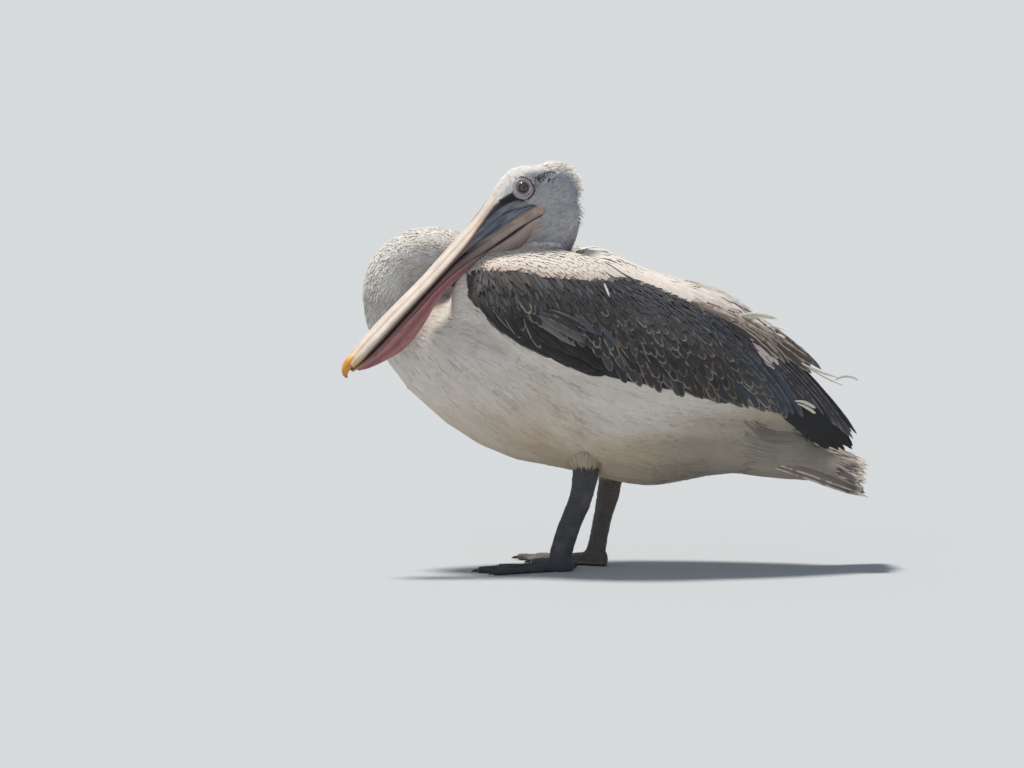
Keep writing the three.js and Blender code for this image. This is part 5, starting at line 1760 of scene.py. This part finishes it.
def nail_hook():
    """The hooked nail at the tip, from pale through orange to a darker point."""
    t = np.linspace(0, 1, 40)
    s = along(NAIL, t)
    ahead = heading_of(NAIL, t, 0.005)
    first = unit(np.cross((0.0, 1, 0), ahead))
    second = np.cross(ahead, first)
    turn = turns(32)
    rings = s[:, None, :3] + s[:, 3, None, None] * (
        0.8 * np.cos(turn)[None, :, None] * first[:, None] + np.sin(turn)[None, :, None] * second[:, None])
    tint = colour(0.88, 0.60, 0.24)
    tint = layered(
        tint,
        ((0.78, 0.40, 0.14), ramp(t, 0.5, 1)[:, None] * np.ones((1, 32))),
        ((0.93, 0.78, 0.52), (1 - ramp(t, 0.0, 0.3))[:, None] * np.ones((1, 32))),
    )
    bill_piece("nail_hook", rings, tint, HORN, ["bill_nail"])


gape()
upper_bill()
lower_bill()
pouch_skin()
nail_hook()

# ---- Eyes ----


IRIS = [  # place from the pole in quarter turns, and display colour
    (0.0, (0.02, 0.02, 0.02)), (0.13, (0.02, 0.02, 0.02)), (0.17, (0.26, 0.21, 0.18)),
    (0.36, (0.34, 0.285, 0.25)), (0.47, (0.24, 0.20, 0.18)), (0.54, (0.04, 0.035, 0.035)),
    (0.75, (0.35, 0.30, 0.30)), (1.0, (0.55, 0.5, 0.5)),
]


def eye_material():
    """Pupil, iris, its dark edge and the lid's skin in rings about the pole of the ball."""
    look = Look("eyeball", 0.18, Coat_Weight=0.5, Coat_Roughness=0.05)
    spot = look.add("UVMap", uv_map="Iris")["UV"]
    bands = look.tree.nodes.new("ShaderNodeValToRGB")
    elements = bands.color_ramp.elements
    while len(elements) < len(IRIS):
        elements.new(0.5)
    for element, (place, tone) in zip(elements, IRIS):
        element.position = place
        element.color = (*colour(*tone), 1)
    look.feed(bands, Fac=look.add("SeparateXYZ", Vector=spot)["X"])
    return look.done(look.shade(bands.outputs["Color"], look.noise(60, 2, spot), 0.7, 1.3))


EYEBALL = eye_material()


def eye(side, way):
    """Eyeball whose pole looks outwards; the iris map runs out from the pole and round it."""
    centre = np.array([EYE_PLACE[0], -way * EYE_PLACE[1], EYE_PLACE[2]])
    axis = eye_axis(way)
    first = unit(np.cross(axis, [0, 0, 1.0]))
    second = np.cross(axis, first)
    polar = np.linspace(0, math.pi, 40)[1:-1]
    turn = turns(48)
    round_pole = np.cos(turn)[:, None] * first + np.sin(turn)[:, None] * second
    ring = np.cos(polar)[:, None, None] * axis + np.sin(polar)[:, None, None] * round_pole
    points, faces = loft(centre + ring * EYE_RADIUS, centre + axis * EYE_RADIUS, centre - axis * EYE_RADIUS)
    piece = new_piece(f"eyeball_{side}", from_head(points), faces, EYEBALL, [f"eye_{side}"])
    out = np.append(np.repeat(polar / (math.pi / 2), 48), [0, 2])
    around = np.append(np.tile(turn / (2 * math.pi), len(polar)), [0, 0])
    lay_map(piece, "Iris", np.stack([out, around], 1))


for side, way in SIDES.items():
    eye(side, way)

# ---- Legs ----


GARTER_TOP, GARTER_TUFTS = 202, 420


def garter(side, x, y, low):
    """Soft feathers that hang from the belly round the top of the leg, down to a height."""
    high, n = GARTER_TOP, GARTER_TUFTS
    turn = RNG.uniform(0, 2 * math.pi, n)
    s = SMALL.stations[None, :, None]
    out = np.stack([np.cos(turn), np.sin(turn), 0 * turn], 1)
    root = (x, y, high) + out * 36 + (0, 0, 1) * RNG.uniform(-6, 8, n)[:, None]
    tip = (x - 1, y, low) + out * 20.5 + (0, 0, 1) * RNG.normal(0, 3.2, n)[:, None]
    path = root[:, None] + (tip - root)[:, None] * s
    normal = np.repeat(unit(out - (0, 0, 0.7))[:, None], s.shape[1], 1)
    # Painted shade: the garter's feathers darker than the belly's tint, as the belly over them is in shade.
    tint = body_tint(root) * RNG.uniform(0.8, 0.95, (n, 1))
    uv = np.stack([scaled(turn, 0, 2 * math.pi), scaled(root[:, 2], high - 7, high + 9)], 1)
    vanes(f"garter_{side}", SMALL, path, normal, RNG.uniform(1.0, 1.7, n), (0, 0.4, 0.4), 0.5, tint,
          "plumage_white", DOWN, uv, (0.01, 0.03), free=True)


def leg(side, way):
    """Shank, foot and webs as one scaled skin, with the garter round its top."""
    points, faces = remeshed(*solids_of([f"shank_{side}", f"foot_{side}"]), LEG_VOXEL)
    points, quads = largest_shell(points, faces)
    points = relaxed(points, quads, 14)
    lump = patches(points, 5, 51) - 0.5
    points = points + normals_of(points, quads) * (lump * 0.9)[:, None]
    points[:, 2] = np.maximum(points[:, 2], 0)
    top = points[points[:, 2] > points[:, 2].max() - 8].mean(0)
    drawn_in = 0.45 * ramp(points[:, 2], 168, 190)[:, None]
    points[:, :2] = points[:, :2] + (top[:2] - points[:, :2]) * drawn_in
    garter(side, top[0], top[1], 172 if way < 0 else 142)
    middle = np.interp(points[:, 2], (0, 20, 100, 180), (-72, -62, -42, -20) if way < 0 else (-10, 0, 14, 26))
    z, front, rear = points[:, 2], ramp(middle - points[:, 0], 0, 14), ramp(points[:, 0] - middle, 0, 14)
    swollen = 6.5 * front * ramp(z, 14, 34) * (1 - ramp(z, 60, 130))
    calf = 4.5 * rear * ramp(z, 70, 110) * (1 - ramp(z, 150, 185))
    points[:, 0] += calf - swollen * (way < 0)
    points[:, 2] *= 1 + 0.4 * (1 - ramp(z, 8, 26))
    piece = new_piece(f"leg_{side}", points, [quads], LEG_HIDE, [f"shank_{side}", f"foot_{side}"])
    # Painted shade: the near (left) leg is darker and greyer than the far one, though both legs are one grey.
    base = colour(0.29, 0.29, 0.305) if way < 0 else colour(0.40, 0.37, 0.35)
    worn = patches(points, 22, 52)
    base = blend(base, colour(0.45, 0.42, 0.40), ramp(worn, 0.6, 1) * 0.5)
    paint(piece, "tint", base)


def claw(side, toe):
    """Curved horn claw where its solid is."""
    points, faces = remeshed(*solids_of([f"claw_{side}_{toe}"]), CLAW_VOXEL)
    points, quads = largest_shell(points, faces)
    points = relaxed(points, quads, 8)
    points[:, 2] = np.maximum(points[:, 2], 0)
    piece = new_piece(f"nail_{side}_{toe}", points, [quads], CLAW, [f"claw_{side}_{toe}"])
    paint(piece, "tint", colour(0.22, 0.20, 0.19))


for side, way in SIDES.items():
    leg(side, way)
    for toe in range(1, 5):
        claw(side, toe)

# ---- Stage ----


def aim(ob, heading):
    """Turn a lamp or the camera to look along a heading."""
    ob.rotation_mode = "QUATERNION"
    ob.rotation_quaternion = heading.to_track_quat("-Z", "Y")


def stage():
    """A plain floor, a soft sky, a warm sun for the main light and a wide cool one opposite."""
    floor = bpy.data.meshes.new("floor")
    floor.from_pydata([(-60, -60, 0), (60, -60, 0), (60, 60, 0), (-60, 60, 0)], [], [(0, 1, 2, 3)])
    floor.materials.append(Look("studio_floor", 0.9).done((0.44, 0.465, 0.485, 1)))
    placed("floor", floor)
    world = bpy.data.worlds.new("studio")
    bpy.context.scene.world = world
    world.use_nodes = True
    sky = world.node_tree.nodes["Background"].inputs
    sky["Color"].default_value = (0.78, 0.87, 1.0, 1)
    sky["Strength"].default_value = 0.36
    for name, heading, power, tone, angle in (
            ("key", (0.27, -0.15, -0.95), 4.0, (1.0, 0.95, 0.88), 10),
            ("fill", (0.25, 0.9, -0.35), 0.30, (0.86, 0.93, 1.0), 60)):
        lamp = bpy.data.lights.new(name, "SUN")
        lamp.energy, lamp.color, lamp.angle = power, tone, math.radians(angle)
        aim(placed(name, lamp), Vector(heading))


def camera():
    """Level with the photograph's: a long lens, from the bird's left, a little above."""
    data = bpy.data.cameras.new("camera")
    elevation, distance, width = math.radians(5), 20.0, 1.679
    target = Vector(((-144 + SHIFT[0]) / MILLIMETRES, SHIFT[1] / MILLIMETRES, 0.302))
    back = Vector((0, -math.cos(elevation), math.sin(elevation)))
    data.sensor_width = 36
    data.lens = 36 * distance / width
    data.clip_end = 100
    ob = placed("camera", data)
    ob.location = target + back * distance
    aim(ob, -back)
    bpy.context.scene.camera = ob


stage()
camera()
bpy.context.scene.view_settings.view_transform = "Standard"
